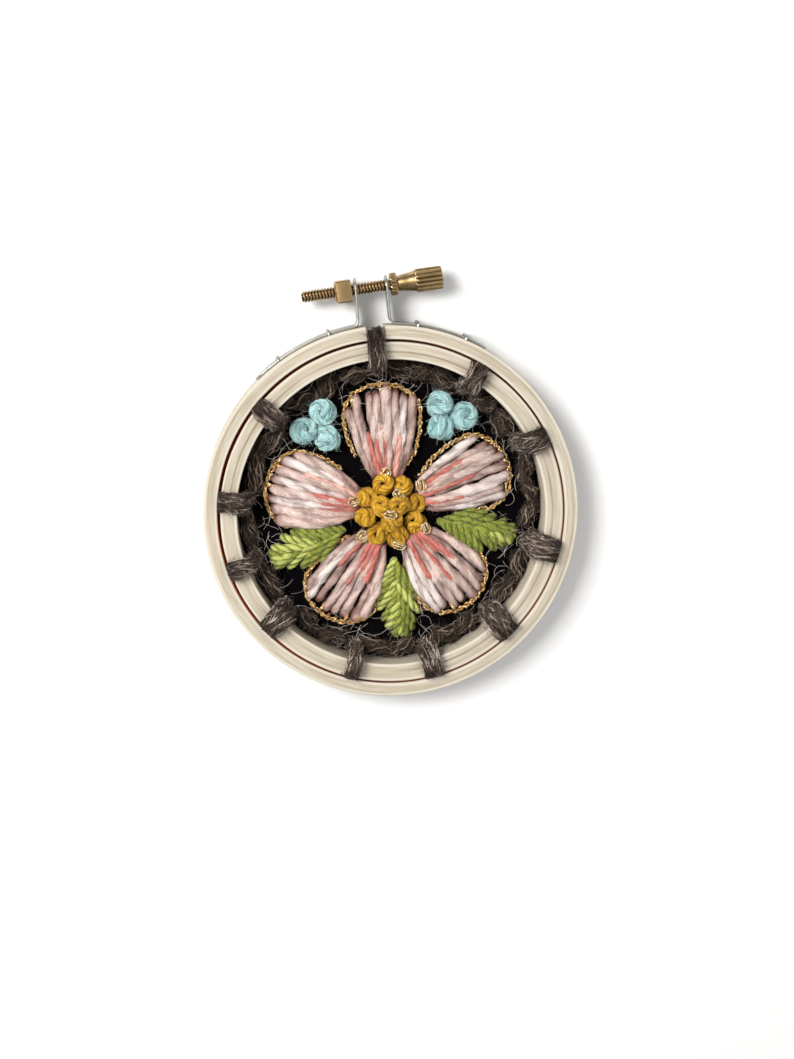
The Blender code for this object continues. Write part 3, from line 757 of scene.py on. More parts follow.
# Short accent stitches that lie in the grooves of the petals
def makeCoral():
    rng = random.Random(7)
    strands = []
    steps = coral["steps"]
    for angle in petals["angles"]:
        for place, reach in coral["places"]:
            across = place + rng.uniform(-0.04, 0.04)
            far = reach + rng.uniform(-0.1, 0.14)
            points = []
            for i in range(steps + 1):
                v = mix(-0.11, far, i / steps)
                point = petalPoint(angle, across * mix(0.9, 1.0, i / steps), v)
                swell = petals["radius"] * mix(0.55, 1.0, smooth((v + 0.13) / 1.13 * 1.7))
                lift = petals["crown"] - clothFace - 2 * petals["radius"]
                point.z = petalLevel(v, petals["radius"], lift) + swell * 0.86
                point.z -= 1.1 * (1 - smooth(min(i, steps - i) / 4))
                points.append(point)
            thick = coral["radius"] * rng.uniform(0.85, 1.15)
            strands.append(strandAlong(
                points, lambda share: thick * mix(1.05, 0.8, share), pitch=6.0, ends=0.16,
                rng=rng, uneven=0.3))
    bm = strandMesh(strands, sides=12, lobes=2, depth=0.1)
    roughen(bm, 0.08, 0.5, 3)
    addMesh(bm, surfaceFibres(strands, coral["fibres"], rng, thick=0.04))
    addMesh(bm, fuzz(strands, coral["fuzz"], rng, length=(0.7, 1.8), thick=0.028, wander=0.9))
    piece("coralStitches", bm, coralWool, angle=80)


for number, angle in enumerate(petals["angles"], 1):
    makePetal(number, angle)
makeCoral()
print("petals ready")


# Gold edging

# ties are the lengths of the short stitches that hold it down, as shares of the petal's
edging = {"width": 0.3, "height": 0.3, "period": 3.6, "plies": 2, "threads": 2, "radius": 0.17, "level": 2.6,
          "offset": 0.1, "step": 0.2, "ties": (0.04, 0.06, 0.09, 0.17)}


# Even points round a petal's outer side, from one side to the other
def edgeOutline(angle, reachLeft, reachRight):
    route = []
    for i in range(12):
        route.append(petalPoint(angle, -1.0, mix(reachLeft, 1.0, i / 12)))
    for i in range(49):
        turn = math.pi * (i / 48 - 0.5)
        route.append(petalPoint(angle, math.sin(turn), 1.0))
    for i in range(1, 13):
        route.append(petalPoint(angle, 1.0, mix(1.0, reachRight, i / 12)))
    even, carry = [], 0.0
    for a, b in zip(route, route[1:]):
        gap = (b - a).length
        while carry < gap:
            even.append(a.lerp(b, carry / gap) if gap else a.copy())
            carry += edging["step"]
        carry -= gap
    return even


# A place beside the route, off to its outer side
def edgePlace(route, i, offset, level):
    ahead = (route[min(i + 1, len(route) - 1)] - route[max(i - 1, 0)]).normalized()
    side = Vector((ahead.y, -ahead.x, 0))
    return route[i] - side * offset + Vector((0, 0, level))


# Two-ply metallic cord round each petal, tied down by short stitches of the same thread
def makeEdging():
    rng = random.Random(21)
    strands = []
    for angle in petals["angles"]:
        route = edgeOutline(angle, rng.uniform(0.0, 0.45), rng.uniform(0.0, 0.45))
        for ply in range(edging["plies"]):
            for thread in range(edging["threads"]):
                around = math.tau * thread / edging["threads"]
                points = []
                for i, point in enumerate(route):
                    phase = math.tau * i * edging["step"] / edging["period"] + math.pi * ply
                    phase += 2.6 * noise.noise(point * 0.26)
                    spin = phase * 2.3 + around
                    bulge = 0.17 + 0.08 * noise.noise(point * 0.8 + Vector((ply * 5, thread * 3, 0)))
                    swing = edging["width"] * (1 + 1.1 * noise.noise(point * 0.45 + Vector((0, 0, 2))))
                    offset = edging["offset"] + swing * math.sin(phase) + bulge * math.cos(spin)
                    level = edging["level"] + edging["height"] * math.cos(phase) + bulge * math.sin(spin)
                    level += 0.5 * noise.noise(point * 0.35 + Vector((0, 0, 9)))
                    offset += 0.3 * noise.noise(point * 0.5 + Vector((0, 0, 4)))
                    points.append(edgePlace(route, i, offset, level))
                strands.append(strandAlong(
                    points, edging["radius"], pitch=1.2, ends=0.01, rng=rng, uneven=0.4))
        for k in range(petals["strands"] + 1):
            across = max(min(2 * k / petals["strands"] - 1 + rng.uniform(-0.05, 0.05), 0.96), -0.96)
            deep = rng.choice(edging["ties"])
            for thread in range(edging["threads"]):
                points = []
                for i in range(13):
                    share = i / 12
                    point = petalPoint(angle, across + (thread - 0.5) * 0.03, 1.03 - deep * share)
                    point.z = 1.9 + 1.25 * math.sin(math.pi * share) ** 0.7 + 0.6 * share + 0.1 * thread
                    points.append(point)
                strands.append(strandAlong(points, edging["radius"], pitch=1.0, rng=rng, uneven=0.4))
    bm = strandMesh(strands, sides=6)
    piece("goldEdging", bm, goldThread, angle=80)


makeEdging()
print("edging ready")


# French knots

centreKnots = {
    # how many, distance, level, width and first angle of each round
    "rounds": ((8, 6.15, 3.0, 4.9, 11.0), (3, 2.3, 4.7, 4.6, 30.0)),
    "strand": 0.93, "lobes": 5, "rough": 0.04, "fibres": 0, "fuzz": 0,
}
# angle of each group, then distance and turn of the knots in it
blueKnots = {"groups": (54, 126), "places": ((27.2, -7.0), (26.9, 6.4), (22.2, -0.4)), "level": 3.3,
             "width": 6.1, "strand": 1.16, "lobes": 3, "rough": 0.12, "fibres": 60, "fuzz": 230}
knotPaths = (
    # across and along in coil radii, height in strand radii
    ((0.1, -0.1, -1.7), (-0.55, -0.6, -1.0), (-1.0, 0.0, -0.45), (-0.65, 0.8, -0.3), (0.35, 0.98, -0.2),
     (1.0, 0.3, -0.1), (0.8, -0.65, 0.1), (-0.1, -1.02, 0.4), (-0.92, -0.5, 1.0), (-0.85, 0.45, 1.45),
     (-0.1, 0.8, 1.65), (0.5, 0.4, 1.6), (0.35, -0.3, 1.25), (0.1, -0.6, 0.3), (0.0, -0.4, -1.3)),
    ((-0.2, -1.0, -1.6), (-0.8, -0.9, -0.6), (-1.0, -0.1, -0.2), (-0.5, 0.7, 0.0), (0.3, 0.95, 0.1),
     (0.95, 0.5, 0.3), (0.75, -0.3, 0.9), (0.1, -0.25, 1.5), (-0.55, -0.1, 1.5), (-0.8, -0.75, 1.0),
     (-0.1, -1.15, 0.5), (0.65, -0.95, 0.1), (0.9, -0.6, -0.8), (0.7, -0.3, -1.7)),
    ((-0.75, 0.9, -1.4), (-0.7, 0.75, 0.6), (-0.6, 0.1, 1.5), (-0.45, -0.75, 0.7), (-0.3, -0.8, -0.8),
     (-0.1, 0.0, -1.2), (0.05, 0.85, -0.4), (0.15, 0.8, 0.8), (0.3, 0.1, 1.7), (0.45, -0.75, 0.9),
     (0.6, -0.85, -0.6), (0.75, 0.1, -1.0), (0.85, 0.7, 0.4), (0.95, 0.1, 1.1), (1.0, -0.6, -1.2)),
)


# One strand wound round and then drawn over the top of its own coil
def knotStrand(centre, width, strand, rng, steps=64):
    coil = width / 2 - strand
    turn = Matrix.Rotation(rng.uniform(0, math.tau), 3, "Z")
    tilt = Matrix.Rotation(rng.uniform(-0.4, 0.4), 3, "X") @ Matrix.Rotation(rng.uniform(-0.4, 0.4), 3, "Y")
    hand = rng.choice((-1, 1))
    path = rng.choice(knotPaths[:2] + knotPaths)
    route = [(x * coil * hand + rng.uniform(-0.16, 0.16), y * coil + rng.uniform(-0.16, 0.16), z * strand)
             for x, y, z in path]
    placed = [centre + tilt @ turn @ Vector(curvePoint(route, i / steps)) for i in range(steps + 1)]
    for point in placed:
        point.z = max(point.z, clothFace + strand * 0.55)
    return placed


# One knot, with loose fibres on it where it is wool
def makeKnot(name, node, centre, width, settings, material, rng):
    strand = settings["strand"]
    strands = [strandAlong(knotStrand(centre, width, strand, rng), strand, pitch=7.0, ends=0.04,
                           start=rng.uniform(0, 6), rng=rng, uneven=0.2)]
    bm = strandMesh(strands, sides=24, lobes=settings["lobes"], depth=0.1)
    roughen(bm, settings["rough"], 0.55, rng.random() * 9)
    if settings["fibres"]:
        addMesh(bm, surfaceFibres(strands, settings["fibres"], rng, thick=0.045, turns=1.5), 1)
    if settings["fuzz"]:
        addMesh(bm, fuzz(strands, settings["fuzz"], rng, length=(0.5, 1.9), thick=0.026, wander=0.9), 1)
    knot = piece(name, bm, material, angle=80)
    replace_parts(knot, node)


def makeCentre():
    rng = random.Random(31)
    number = 0
    for count, distance, level, width, first in centreKnots["rounds"]:
        for i in range(count):
            number += 1
            angle = first + 360 * i / count + rng.uniform(-3, 3)
            centre = polar(angle, distance, level + rng.uniform(-0.2, 0.3))
            makeKnot(f"centreKnot{number:02d}", f"centre_knot_{number:02d}", centre,
                     width * rng.uniform(0.95, 1.1), centreKnots, mustardCotton, rng)


def makeBlue():
    rng = random.Random(47)
    number = 0
    for group in blueKnots["groups"]:
        for distance, turn in blueKnots["places"]:
            number += 1
            centre = polar(group + turn, distance, blueKnots["level"])
            makeKnot(f"blueKnot{number}", f"blue_knot_{number}", centre, blueKnots["width"], blueKnots,
                     (blueWool, blueFibres), rng)


# six fans lie round the middle at a level, and upper gives the angle, distance and level of the others
flecks = {"round": 6, "first": 33, "distance": (8.2, 9.0), "level": 4.3,
          "upper": ((255, 0.7, 6.2), (60, 4.2, 5.4)), "arches": 5, "gap": 0.46, "length": (1.2, 1.5),
          "loops": 2, "thread": 0.17, "fineThread": 0.15}


# Small fans of gold loops among the centre knots
def makeFlecks():
    rng = random.Random(53)
    strands = []
    places = []
    for i in range(flecks["round"]):
        angle = flecks["first"] + 360 / flecks["round"] * i + rng.uniform(-8, 8)
        places.append(polar(angle, rng.uniform(*flecks["distance"]), flecks["level"]))
    places += [polar(*upper) for upper in flecks["upper"]]
    for centre in places:
        turn = Matrix.Rotation(rng.uniform(0, math.tau), 3, "Z")
        turn = turn @ Matrix.Rotation(rng.uniform(-0.35, 0.35), 3, "X")
        long = rng.uniform(*flecks["length"])
        for k in range(flecks["arches"]):
            off = (k - 2) * flecks["gap"] + rng.uniform(-0.08, 0.08)
            size = long * math.sqrt(1 - (off / 1.4) ** 2) * rng.uniform(0.8, 1.15)
            rise = rng.uniform(0.6, 1.2)
            lean = rng.uniform(-0.5, 0.5)
            points = []
            for i in range(17):
                share = i / 16
                arch = math.sin(math.pi * share)
                along = size * math.cos(math.pi * share) + lean * arch
                points.append(centre + turn @ Vector((along, off + 0.4 * lean * arch, rise * arch - 0.5)))
            strands.append(strandAlong(points, flecks["thread"], pitch=0.8, rng=rng, uneven=0.3))
        for loop in range(flecks["loops"]):
            wide, slope = rng.uniform(0.9, 1.25), rng.uniform(-0.4, 0.4)
            points = []
            for i in range(33):
                a = math.tau * 1.1 * i / 32
                along = long * rng.uniform(0.96, 1.04) * math.cos(a)
                level = slope * math.cos(a) + 0.3 * loop
                points.append(centre + turn @ Vector((along, wide * math.sin(a), level)))
            strands.append(strandAlong(points, flecks["fineThread"], pitch=0.8, rng=rng, uneven=0.3))
    bm = strandMesh(strands, sides=7)
    piece("goldFlecks", bm, paleGold, angle=80)


makeCentre()
makeBlue()
makeFlecks()
print("knots ready")


# Leaves

leaves = {"angles": (198, 270, 342), "start": 11.5, "tip": 29.8, "width": 9.8, "pairs": 6, "radius": 0.94,
          "pitch": (6, 8), "fibres": 14, "fuzz": 200}


# Pairs of slanted stitches that start on the vein, from the tip inwards
def makeLeaf(number, angle):
    rng = random.Random(60 + number)
    outwards, sideways = axesAt(angle)
    strands = []
    length = leaves["tip"] - leaves["start"]

    def stitch(base, hand):
        far = min(base + 0.44, 1.0)
        spread = leaves["width"] / 2 * math.sin(math.pi * min(0.1 + far * 0.8, 0.92)) ** 0.8
        start = outwards * (leaves["start"] + length * base) - sideways * hand * 0.3
        end = outwards * (leaves["start"] + length * far + rng.uniform(-0.8, 0.5))
        end += sideways * hand * (spread + rng.uniform(-0.6, 0.5))
        bow = rng.uniform(0.3, 0.7)
        points = []
        for i in range(29):
            share = i / 28
            point = start.lerp(end, share) + outwards * bow * math.sin(math.pi * share)
            arch = math.sin(math.pi * min(share * 0.9 + 0.08, 1.0)) ** 0.5
            point.z = clothFace + 0.1 + arch * (leaves["radius"] + mix(1.5, 0.45, share))
            points.append(point)
        thick = leaves["radius"] * rng.uniform(0.9, 1.1)
        return strandAlong(points, thick, pitch=rng.uniform(*leaves["pitch"]), ends=0.12,
                           start=rng.uniform(0, 6), rng=rng, uneven=0.2)

    for k in range(leaves["pairs"]):
        base = mix(0.6, 0.0, k / (leaves["pairs"] - 1))
        for hand in (1, -1):
            strands.append(stitch(base + hand * 0.025, hand))
    tip = [outwards * mix(leaves["start"] + length * 0.6, leaves["tip"], i / 24) for i in range(25)]
    for i, point in enumerate(tip):
        point.z = clothFace + 0.1 + 1.9 * math.sin(math.pi * (0.1 + 0.85 * i / 24)) ** 0.5
    strands.append(strandAlong(tip, leaves["radius"], pitch=7.0, ends=0.14, rng=rng))
    bm = strandMesh(strands, sides=16, lobes=3, depth=0.12)
    roughen(bm, 0.1, 0.6, number)
    addMesh(bm, surfaceFibres(strands, leaves["fibres"], rng, thick=0.042))
    addMesh(bm, fuzz(strands, leaves["fuzz"], rng, length=(0.7, 2.2), thick=0.028, wander=0.9))
    leaf = piece(f"leafWool{number}", bm, greenWool, angle=80)
    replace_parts(leaf, f"leaf_{number}")


for number, angle in enumerate(leaves["angles"], 1):
    makeLeaf(number, angle)
print("leaves ready")


# Roving round the border and over the inner ring

lashings = {
    # angle and width of each
    "places": ((22.5, 4.6), (54.0, 4.2), (90.0, 3.5), (135.0, 4.2), (170.0, 4.2), (194.0, 3.8),
               (217.5, 5.2), (250.5, 3.2), (279.5, 4.2), (309.0, 5.4), (342.0, 5.6)),
    # distance, level and thickness, from the gap over the inner ring and down to the cloth
    "route": ((38.5, 7.4, 0.5), (38.5, 9.0, 0.6), (38.0, 10.0, 1.2), (36.3, 10.4, 1.8), (34.4, 10.1, 1.8),
              (33.4, 8.8, 1.7), (33.3, 6.0, 1.6), (33.0, 3.6, 1.6), (32.0, 2.6, 1.8), (30.7, 2.2, 1.4)),
    # the one at the split comes down through it in place of the route's first three
    "split": 90.0, "splitStart": ((41.2, 3.2, 1.2), (41.1, 7.0, 1.5), (40.6, 9.0, 1.6), (39.0, 10.2, 1.6)),
    # strands for each mm of width, radius, steps, range of layers, wander and reach past the width
    "core": (1.3, 0.58, 26, (-0.5, 0.05), 0.1, -0.75),
    "middle": (9, 0.19, 24, (0.1, 1.3), 0.42, -0.3),
    "fine": (7, 0.09, 24, (0.8, 1.7), 0.6, -0.2),
    "fuzz": 330, "edgeFuzz": 260,
}
border = {
    "distance": 32.3, "width": 4.0, "height": 3.2, "room": 0.5, "tuft": 6.0,
    # strands, radius, steps, depth in the tuft and wander
    "core": (4, 0.62, 18, 0.42, 0.1), "middle": (20, 0.19, 20, 0.9, 0.45), "fine": (16, 0.09, 16, 1.16, 0.7),
    "fuzz": 170,
}


# Core in a darker copy of the roving for painted shade inside the tuft, rough strands round it and fine ones
# over them
def rovingMesh(core, middle, fine, rough, seed):
    bm = bmesh.new()
    addMesh(bm, strandMesh(core, sides=8), 1)
    roughen(bm, rough, 0.5, seed)
    addMesh(bm, strandMesh(middle, sides=7, lobes=2, depth=0.15))
    addMesh(bm, strandMesh(fine, sides=4))
    return bm


# Point of a lashing: side is in mm and layer runs from the wood to the top of the tuft
def lashingPoint(angle, route, share, side, layer):
    outwards, sideways = axesAt(angle)
    distance, level, thickness = curvePoint(route, share)
    ahead = curvePoint(route, min(share + 0.02, 1.0))
    behind = curvePoint(route, max(share - 0.02, 0.0))
    tangent = Vector((ahead[0] - behind[0], 0, ahead[1] - behind[1])).normalized()
    normal = Vector((-tangent.z, 0, tangent.x))
    normal = normal if normal.z > 0 or (abs(normal.z) < 0.3 and normal.x < 0) else -normal
    out = layer * thickness * 0.5
    return outwards * (distance + normal.x * out) + sideways * side + Vector((0, 0, level + normal.z * out))


# Puffed tuft: a few thick strands inside, many fine ones over them and loose fuzz
def makeLashing(number, angle, width):
    rng = random.Random(80 + number)
    atSplit = angle == lashings["split"]
    route = lashings["splitStart"] + lashings["route"][3:] if atSplit else lashings["route"]
    waist = rng.uniform(0.35, 0.6)

    def bundle(each, thick, steps, layers, wander, reach):
        strands = []
        count = round(width * each)
        for k in range(count):
            # a few strands are spread evenly, many of them at random
            across = (k + 0.5) / count * 2 - 1 if count < 20 else rng.uniform(-1, 1)
            roundness = math.sqrt(max(1 - across * across, 0))
            layer = mix(layers[0], layers[1], rng.random()) * mix(0.45, 1.0, roundness)
            phase, beat = rng.uniform(0, 6), rng.uniform(5, 8 + 24 * wander)
            first, last = rng.uniform(0.0, 0.14), rng.uniform(0.84, 1.0)
            skew = rng.uniform(-1, 1) * wander * 3.5
            points = []
            for i in range(steps + 1):
                share = mix(first, last, i / steps)
                pinch = mix(0.66, 1.08, smooth(share * 2.2)) * mix(waist, 1.0, smooth((1 - share) * 2.8))
                side = across * (width / 2 + reach) * pinch + wander * math.sin(share * beat + phase)
                side += skew * (share - 0.5)
                lift = layer + wander * math.sin(share * beat * 1.3 + 2 * phase)
                points.append(lashingPoint(angle, route, share, side, lift))
            radius = thick * rng.uniform(0.8, 1.2)
            strands.append(strandAlong(points, radius, pitch=7.0, ends=0.08, rng=rng, uneven=0.4))
        return strands

    core, middle, fine = (bundle(*lashings[kind]) for kind in ("core", "middle", "fine"))
    within = hoop["outerIn"] + (3.2 if atSplit else 0.3)
    bm = rovingMesh(core, middle, fine, 0.2, number)
    addMesh(bm, fuzz(middle, lashings["fuzz"], rng, length=(0.9, 3.0), thick=0.05, lift=0.6, wander=2.4,
                     within=within))
    sideways = polar(angle + 90, 1.0)
    edges = sorted(middle, key=lambda strand: abs(strand["points"][10].dot(sideways)))[-10:]
    addMesh(bm, fuzz(edges, lashings["edgeFuzz"], rng, length=(0.6, 2.2), thick=0.042, lift=1.0, wander=1.8,
                     within=within))
    roving = piece(f"lashingRoving{number:02d}", bm, (lashedRoving, shadedCoreRoving), angle=80)
    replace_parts(roving, f"lashing_{number:02d}")


# Row of short tufts that overlap at a slant, filling one border stitch
def makeBorderStitch(number, start, end):
    rng = random.Random(120 + number)
    arc = math.radians(end - start) * border["distance"]
    tufts = max(1, round(arc / border["tuft"]))
    core, middle, fine = [], [], []
    for tuft in range(tufts):
        centre = mix(start, end, (tuft + 0.5) / tufts)
        length = arc / tufts * rng.uniform(1.05, 1.5)
        slant = (-1) ** tuft * rng.uniform(0.1, 0.6) if tufts > 1 else rng.uniform(-0.1, 0.1)
        outwards, sideways = axesAt(centre)
        along = sideways * math.cos(slant) + outwards * math.sin(slant)
        across = outwards * math.cos(slant) - sideways * math.sin(slant)
        middlePoint = outwards * (border["distance"] - 0.1 + rng.uniform(-0.5, 0.2))
        width = border["width"] * rng.uniform(0.58, 0.92)
        height = border["height"] * rng.uniform(0.85, 1.05)

        def bundle(count, thick, steps, deep, wander):
            strands = []
            wall = hoop["innerIn"] - thick - 0.1
            for k in range(count):
                turn = math.tau * k / count + rng.uniform(-0.3, 0.3)
                phase, beat = rng.uniform(0, 6), rng.uniform(5, 10)
                first, last = rng.uniform(-0.02, 0.08), rng.uniform(0.92, 1.02)
                points = []
                for i in range(steps + 1):
                    share = mix(first, last, i / steps)
                    swell = math.sin(math.pi * min(max(0.08 + 0.84 * share, 0.02), 0.98)) ** 0.75
                    roll = turn + 1.9 * share
                    lump = 1 + 0.45 * noise.noise(Vector((share * 3.1, number * 4.7, tuft * 2.3)))
                    side = width / 2 * deep * swell * lump * math.cos(roll)
                    side += wander * math.sin(share * beat + phase)
                    point = middlePoint + along * (share - 0.5) * length + across * side
                    point.z = clothFace + height / 2 * swell * (1 + deep * lump * math.sin(roll))
                    reach = point.xy.length
                    if reach > wall:
                        point.xy *= wall / reach
                    point.z = max(point.z, clothFace + thick * 0.4)
                    points.append(point)
                radius = thick * rng.uniform(0.75, 1.25)
                strands.append(strandAlong(points, radius, pitch=6.0, ends=0.12, rng=rng, uneven=0.4))
            return strands

        core += bundle(*border["core"])
        middle += bundle(*border["middle"])
        fine += bundle(*border["fine"])
    bm = rovingMesh(core, middle, fine, 0.25, number)
    addMesh(bm, fuzz(middle, border["fuzz"] * tufts, rng, length=(0.9, 3.4), thick=0.05, lift=0.9,
                     wander=2.4))
    roving = piece(f"borderRoving{number:02d}", bm, (shadedBorderRoving, shadedCoreRoving), angle=80)
    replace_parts(roving, f"border_stitch_{number:02d}")


for number, (angle, width) in enumerate(lashings["places"], 1):
    makeLashing(number, angle, width)
    following, nextWidth = lashings["places"][number % len(lashings["places"])]
    following += 360 if following <= angle else 0
    start = angle + math.degrees((width / 2 + border["room"]) / border["distance"])
    end = following - math.degrees((nextWidth / 2 + border["room"]) / border["distance"])
    makeBorderStitch(number, start, end)


strays = {"count": 330, "inside": 16, "outside": 34, "height": 2.8, "thick": 0.036, "tip": 0.012}


# Single fibres that the roving has shed over the cloth
def makeStrays():
    rng = random.Random(151)
    fibres = []
    for _ in range(strays["count"]):
        at = polar(rng.uniform(0, 360), mix(strays["inside"], strays["outside"], rng.random() ** 0.4),
                   clothFace + rng.uniform(0.0, strays["height"]))
        heading = polar(rng.uniform(0, 360), 1.0, rng.uniform(-0.2, 0.2))
        curl = rng.uniform(-0.25, 0.25)
        count = rng.randrange(7, 16)
        points = []
        for _ in range(count):
            points.append(keepClear(at.copy()))
            turned = Matrix.Rotation(curl, 3, "Z") @ heading
            heading = (turned + Vector((0, 0, rng.uniform(-0.2, 0.2)))).normalized()
            curl = 0.85 * curl + rng.uniform(-0.16, 0.16)
            at = at + heading * rng.uniform(0.3, 0.6)
        fibres.append({"points": points, "radius": [strays["thick"]] * (count - 1) + [strays["tip"]]})
    piece("strayFibres", strandMesh(fibres, sides=3), shedFibres)


makeStrays()
print("roving ready")


# Ground cloth

sheet = {"thickness": 1.0, "rimInside": 38.2, "rimThickness": 0.55, "rimTop": 6.0, "rings": 34, "steps": 180,
         "pucker": 0.22}


# Disc of cloth across the back, with its edge turned up between the rings
def makeGroundCloth():
    inside, rings = sheet["rimInside"], sheet["rings"]
    rimOutside = inside + sheet["rimThickness"]
    profile = [(0.0, 0.0), (rimOutside, 0.0), (rimOutside, sheet["rimTop"]), (inside, sheet["rimTop"])]
    profile += [(inside * (1 - k / rings), sheet["thickness"]) for k in range(rings + 1)]
    bm = bmesh.new()
    points = [bm.verts.new((r * mm, 0, z * mm)) for r, z in profile]
    edges = [bm.edges.new(pair) for pair in zip(points, points[1:])]
    bmesh.ops.spin(bm, geom=points + edges, cent=(0, 0, 0), axis=(0, 0, 1), dvec=(0, 0, 0), angle=math.tau,
                   steps=sheet["steps"], use_merge=True)
    bmesh.ops.remove_doubles(bm, verts=bm.verts, dist=0.001 * mm)
    bmesh.ops.recalc_face_normals(bm, faces=bm.faces)
    for vert in bm.verts:
        spot = vert.co / mm
        if spot.xy.length > inside - 0.01 and spot.z > 0.9:
            nearest = hoop["innerOut"] - offCentre(spot) + 0.03
            farthest = hoop["outerIn"] - 0.03
            reach = nearest if spot.xy.length < inside + 0.01 else farthest
            vert.co.xy = spot.xy.normalized() * max(reach, nearest + 0.02) * mm
        if spot.z > 0.5 and spot.xy.length < hoop["innerIn"]:
            pucker = max(noise.noise(Vector((spot.x, spot.y, 0)) * 0.35), 0)
            vert.co.z += sheet["pucker"] * pucker * mm
    cloth = piece("groundCloth", bm, blackCotton, angle=60)
    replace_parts(cloth, "cloth", "cloth_edge")


makeGroundCloth()
print("cloth ready")


# Metal clamp

# places along the screw count from the middle of the split
screw = {"middle": (0.0, 50.5, 4.5), "lean": 3.0, "end": -15.5, "thread": 1.3, "deep": 0.34, "pitch": 0.7,
         "collar": 4.3, "collarLength": 1.6, "collarRadius": 2.5, "notches": 18, "notchDepth": 0.22,
         "cone": 10.3, "head": 16.0, "headRadius": 2.6, "flutes": 14, "fluteDepth": 0.34}
nut = {"from": -7.75, "to": -4.4, "width": 4.85, "bore": 1.42}


# Rows of place along the screw and radius, or a function of the turn for it, spun into a closed skin
def latheMesh(rows, steps, cyclic=False):
    if not cyclic:
        rows = [(rows[0][0], 0.0)] + rows + [(rows[-1][0], 0.0)]
    bm = bmesh.new()
    rowNumber = bm.verts.layers.int.new("row")
    points = [bm.verts.new((along * mm, mm, 0)) for along, _ in rows]
    for i, point in enumerate(points):
        point[rowNumber] = i
    pairs = zip(points, points[1:] + (points[:1] if cyclic else []))
    edges = [bm.edges.new(pair) for pair in pairs]
    bmesh.ops.spin(bm, geom=points + edges, cent=(0, 0, 0), axis=(1, 0, 0), dvec=(0, 0, 0), angle=math.tau,
                   steps=steps, use_merge=True)
    for vert in bm.verts:
        turn = math.atan2(vert.co.z, vert.co.y)
        radius = rows[vert[rowNumber]][1]
        reach = radius(turn) if callable(radius) else radius
        vert.co.yz = Vector((math.cos(turn), math.sin(turn))) * reach * mm
    bm.verts.layers.int.remove(rowNumber)
    bmesh.ops.remove_doubles(bm, verts=bm.verts, dist=0.0005 * mm)
    bmesh.ops.recalc_face_normals(bm, faces=bm.faces)
    return bm


def placeOnScrew(bm):
    turn = Matrix.Rotation(math.radians(screw["lean"]), 4, "Z")
    bmesh.ops.transform(bm, matrix=Matrix.Translation(Vector(screw["middle"]) * mm) @ turn, verts=bm.verts)


# Threaded rod, notched collar, cone and fluted head
def makeScrew():
    pitch, deep = screw["pitch"], screw["deep"]
    stepsPerTurn = 12

    def threadRadius(along):
        def at(turn):
            place = (along / pitch - turn / math.tau) % 1.0
            ridge = 1 - abs(place * 2 - 1)
            crest = min(max((ridge - 0.16) / 0.34, 0), 1)
            end = min(max((along - screw["end"]) / 0.5, 0), 1)
            return screw["thread"] - deep * (1 - crest) - 0.3 * (1 - end)
        return at

    last = screw["collar"] + 0.3
    count = int((last - screw["end"]) / pitch * stepsPerTurn)
    places = [mix(screw["end"], last, i / count) for i in range(count + 1)]
    bm = latheMesh([(along, threadRadius(along)) for along in places], 28)

    def knurl(radius, notches, depth):
        return lambda turn: radius - depth * (0.5 + 0.5 * math.cos(notches * turn)) ** 2

    def head(radius):
        cut = knurl(screw["headRadius"], screw["flutes"], screw["fluteDepth"])
        return lambda turn: min(radius, cut(turn))

    # notched collar
    collarFrom, collarTo = screw["collar"], screw["collar"] + screw["collarLength"]
    radius = screw["collarRadius"]
    notched = knurl(radius, screw["notches"], screw["notchDepth"])
    rows = [(collarFrom, 1.0), (collarFrom, radius - 0.35), (collarFrom + 0.02, radius - 0.25)]
    rows += [(collarFrom + at, notched) for at in (0.2, 0.5, 0.8, 1.1, 1.4)]
    rows += [(collarTo, radius - 0.3), (collarTo + 0.04, radius - 0.5), (collarTo + 0.06, 1.6)]
    # cone that widens to the fluted head
    for i in range(13):
        along = mix(collarTo + 0.08, screw["cone"] - 0.5, i / 12)
        rows.append((along, mix(1.62, 2.28, i / 12)))
    for along, radius in ((-0.4, 2.3), (-0.3, 2.32), (-0.2, 2.38), (-0.1, 2.46), (0.0, 2.55), (0.1, 2.6),
                          (0.2, 2.6)):
        rows.append((screw["cone"] + along, head(radius)))
    for i in range(1, 7):
        rows.append((mix(screw["cone"] + 0.2, screw["head"] - 0.25, i / 6), head(screw["headRadius"])))
    for back, radius in ((0.12, 2.52), (0.03, 2.42), (0.0, 2.3), (0.0, 1.9), (0.12, 1.6)):
        rows.append((screw["head"] - back, head(radius)))
    addMesh(bm, latheMesh(rows, 112))
    placeOnScrew(bm)
    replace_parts(piece("thumbscrew", bm, brass, body="thumbscrew", angle=28), "screw")


def makeNut():
    low, high, bore = nut["from"], nut["to"], nut["bore"]
    half = nut["width"] / 2

    def square(share):
        def at(turn):
            flat = max(abs(math.cos(turn)), abs(math.sin(turn)))
            return min(half * share / flat, half * share * 1.34)
        return at

    # from the bore over the round shoulder and the square sides, and back to the bore
    rows = [(low + 0.25, bore), (low - 0.2, bore), (low - 0.3, 1.55), (low - 0.3, 2.1), (low - 0.2, 2.2),
            (low, 2.2), (low, square(0.94)), (low + 0.05, square(0.98)), (low + 0.18, square(1.0)),
            (high - 0.18, square(1.0)), (high - 0.05, square(0.98)), (high, square(0.94)), (high, 1.6),
            (high - 0.15, bore)]
    bm = latheMesh(rows, 96, cyclic=True)
    placeOnScrew(bm)
    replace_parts(piece("squareNut", bm, brass, angle=28), "nut")


strips = {
    "thickness": 0.5, "width": 6.0, "rounding": 0.12, "bend": 1.5, "ear": 3.55, "top": 52.9, "bore": 1.5,
    # side, angle of the far end and angles of the staples
    "sides": (("left", 130.0, (104.0, 121.0)), ("right", 55.0, (62.0, 77.0))),
}


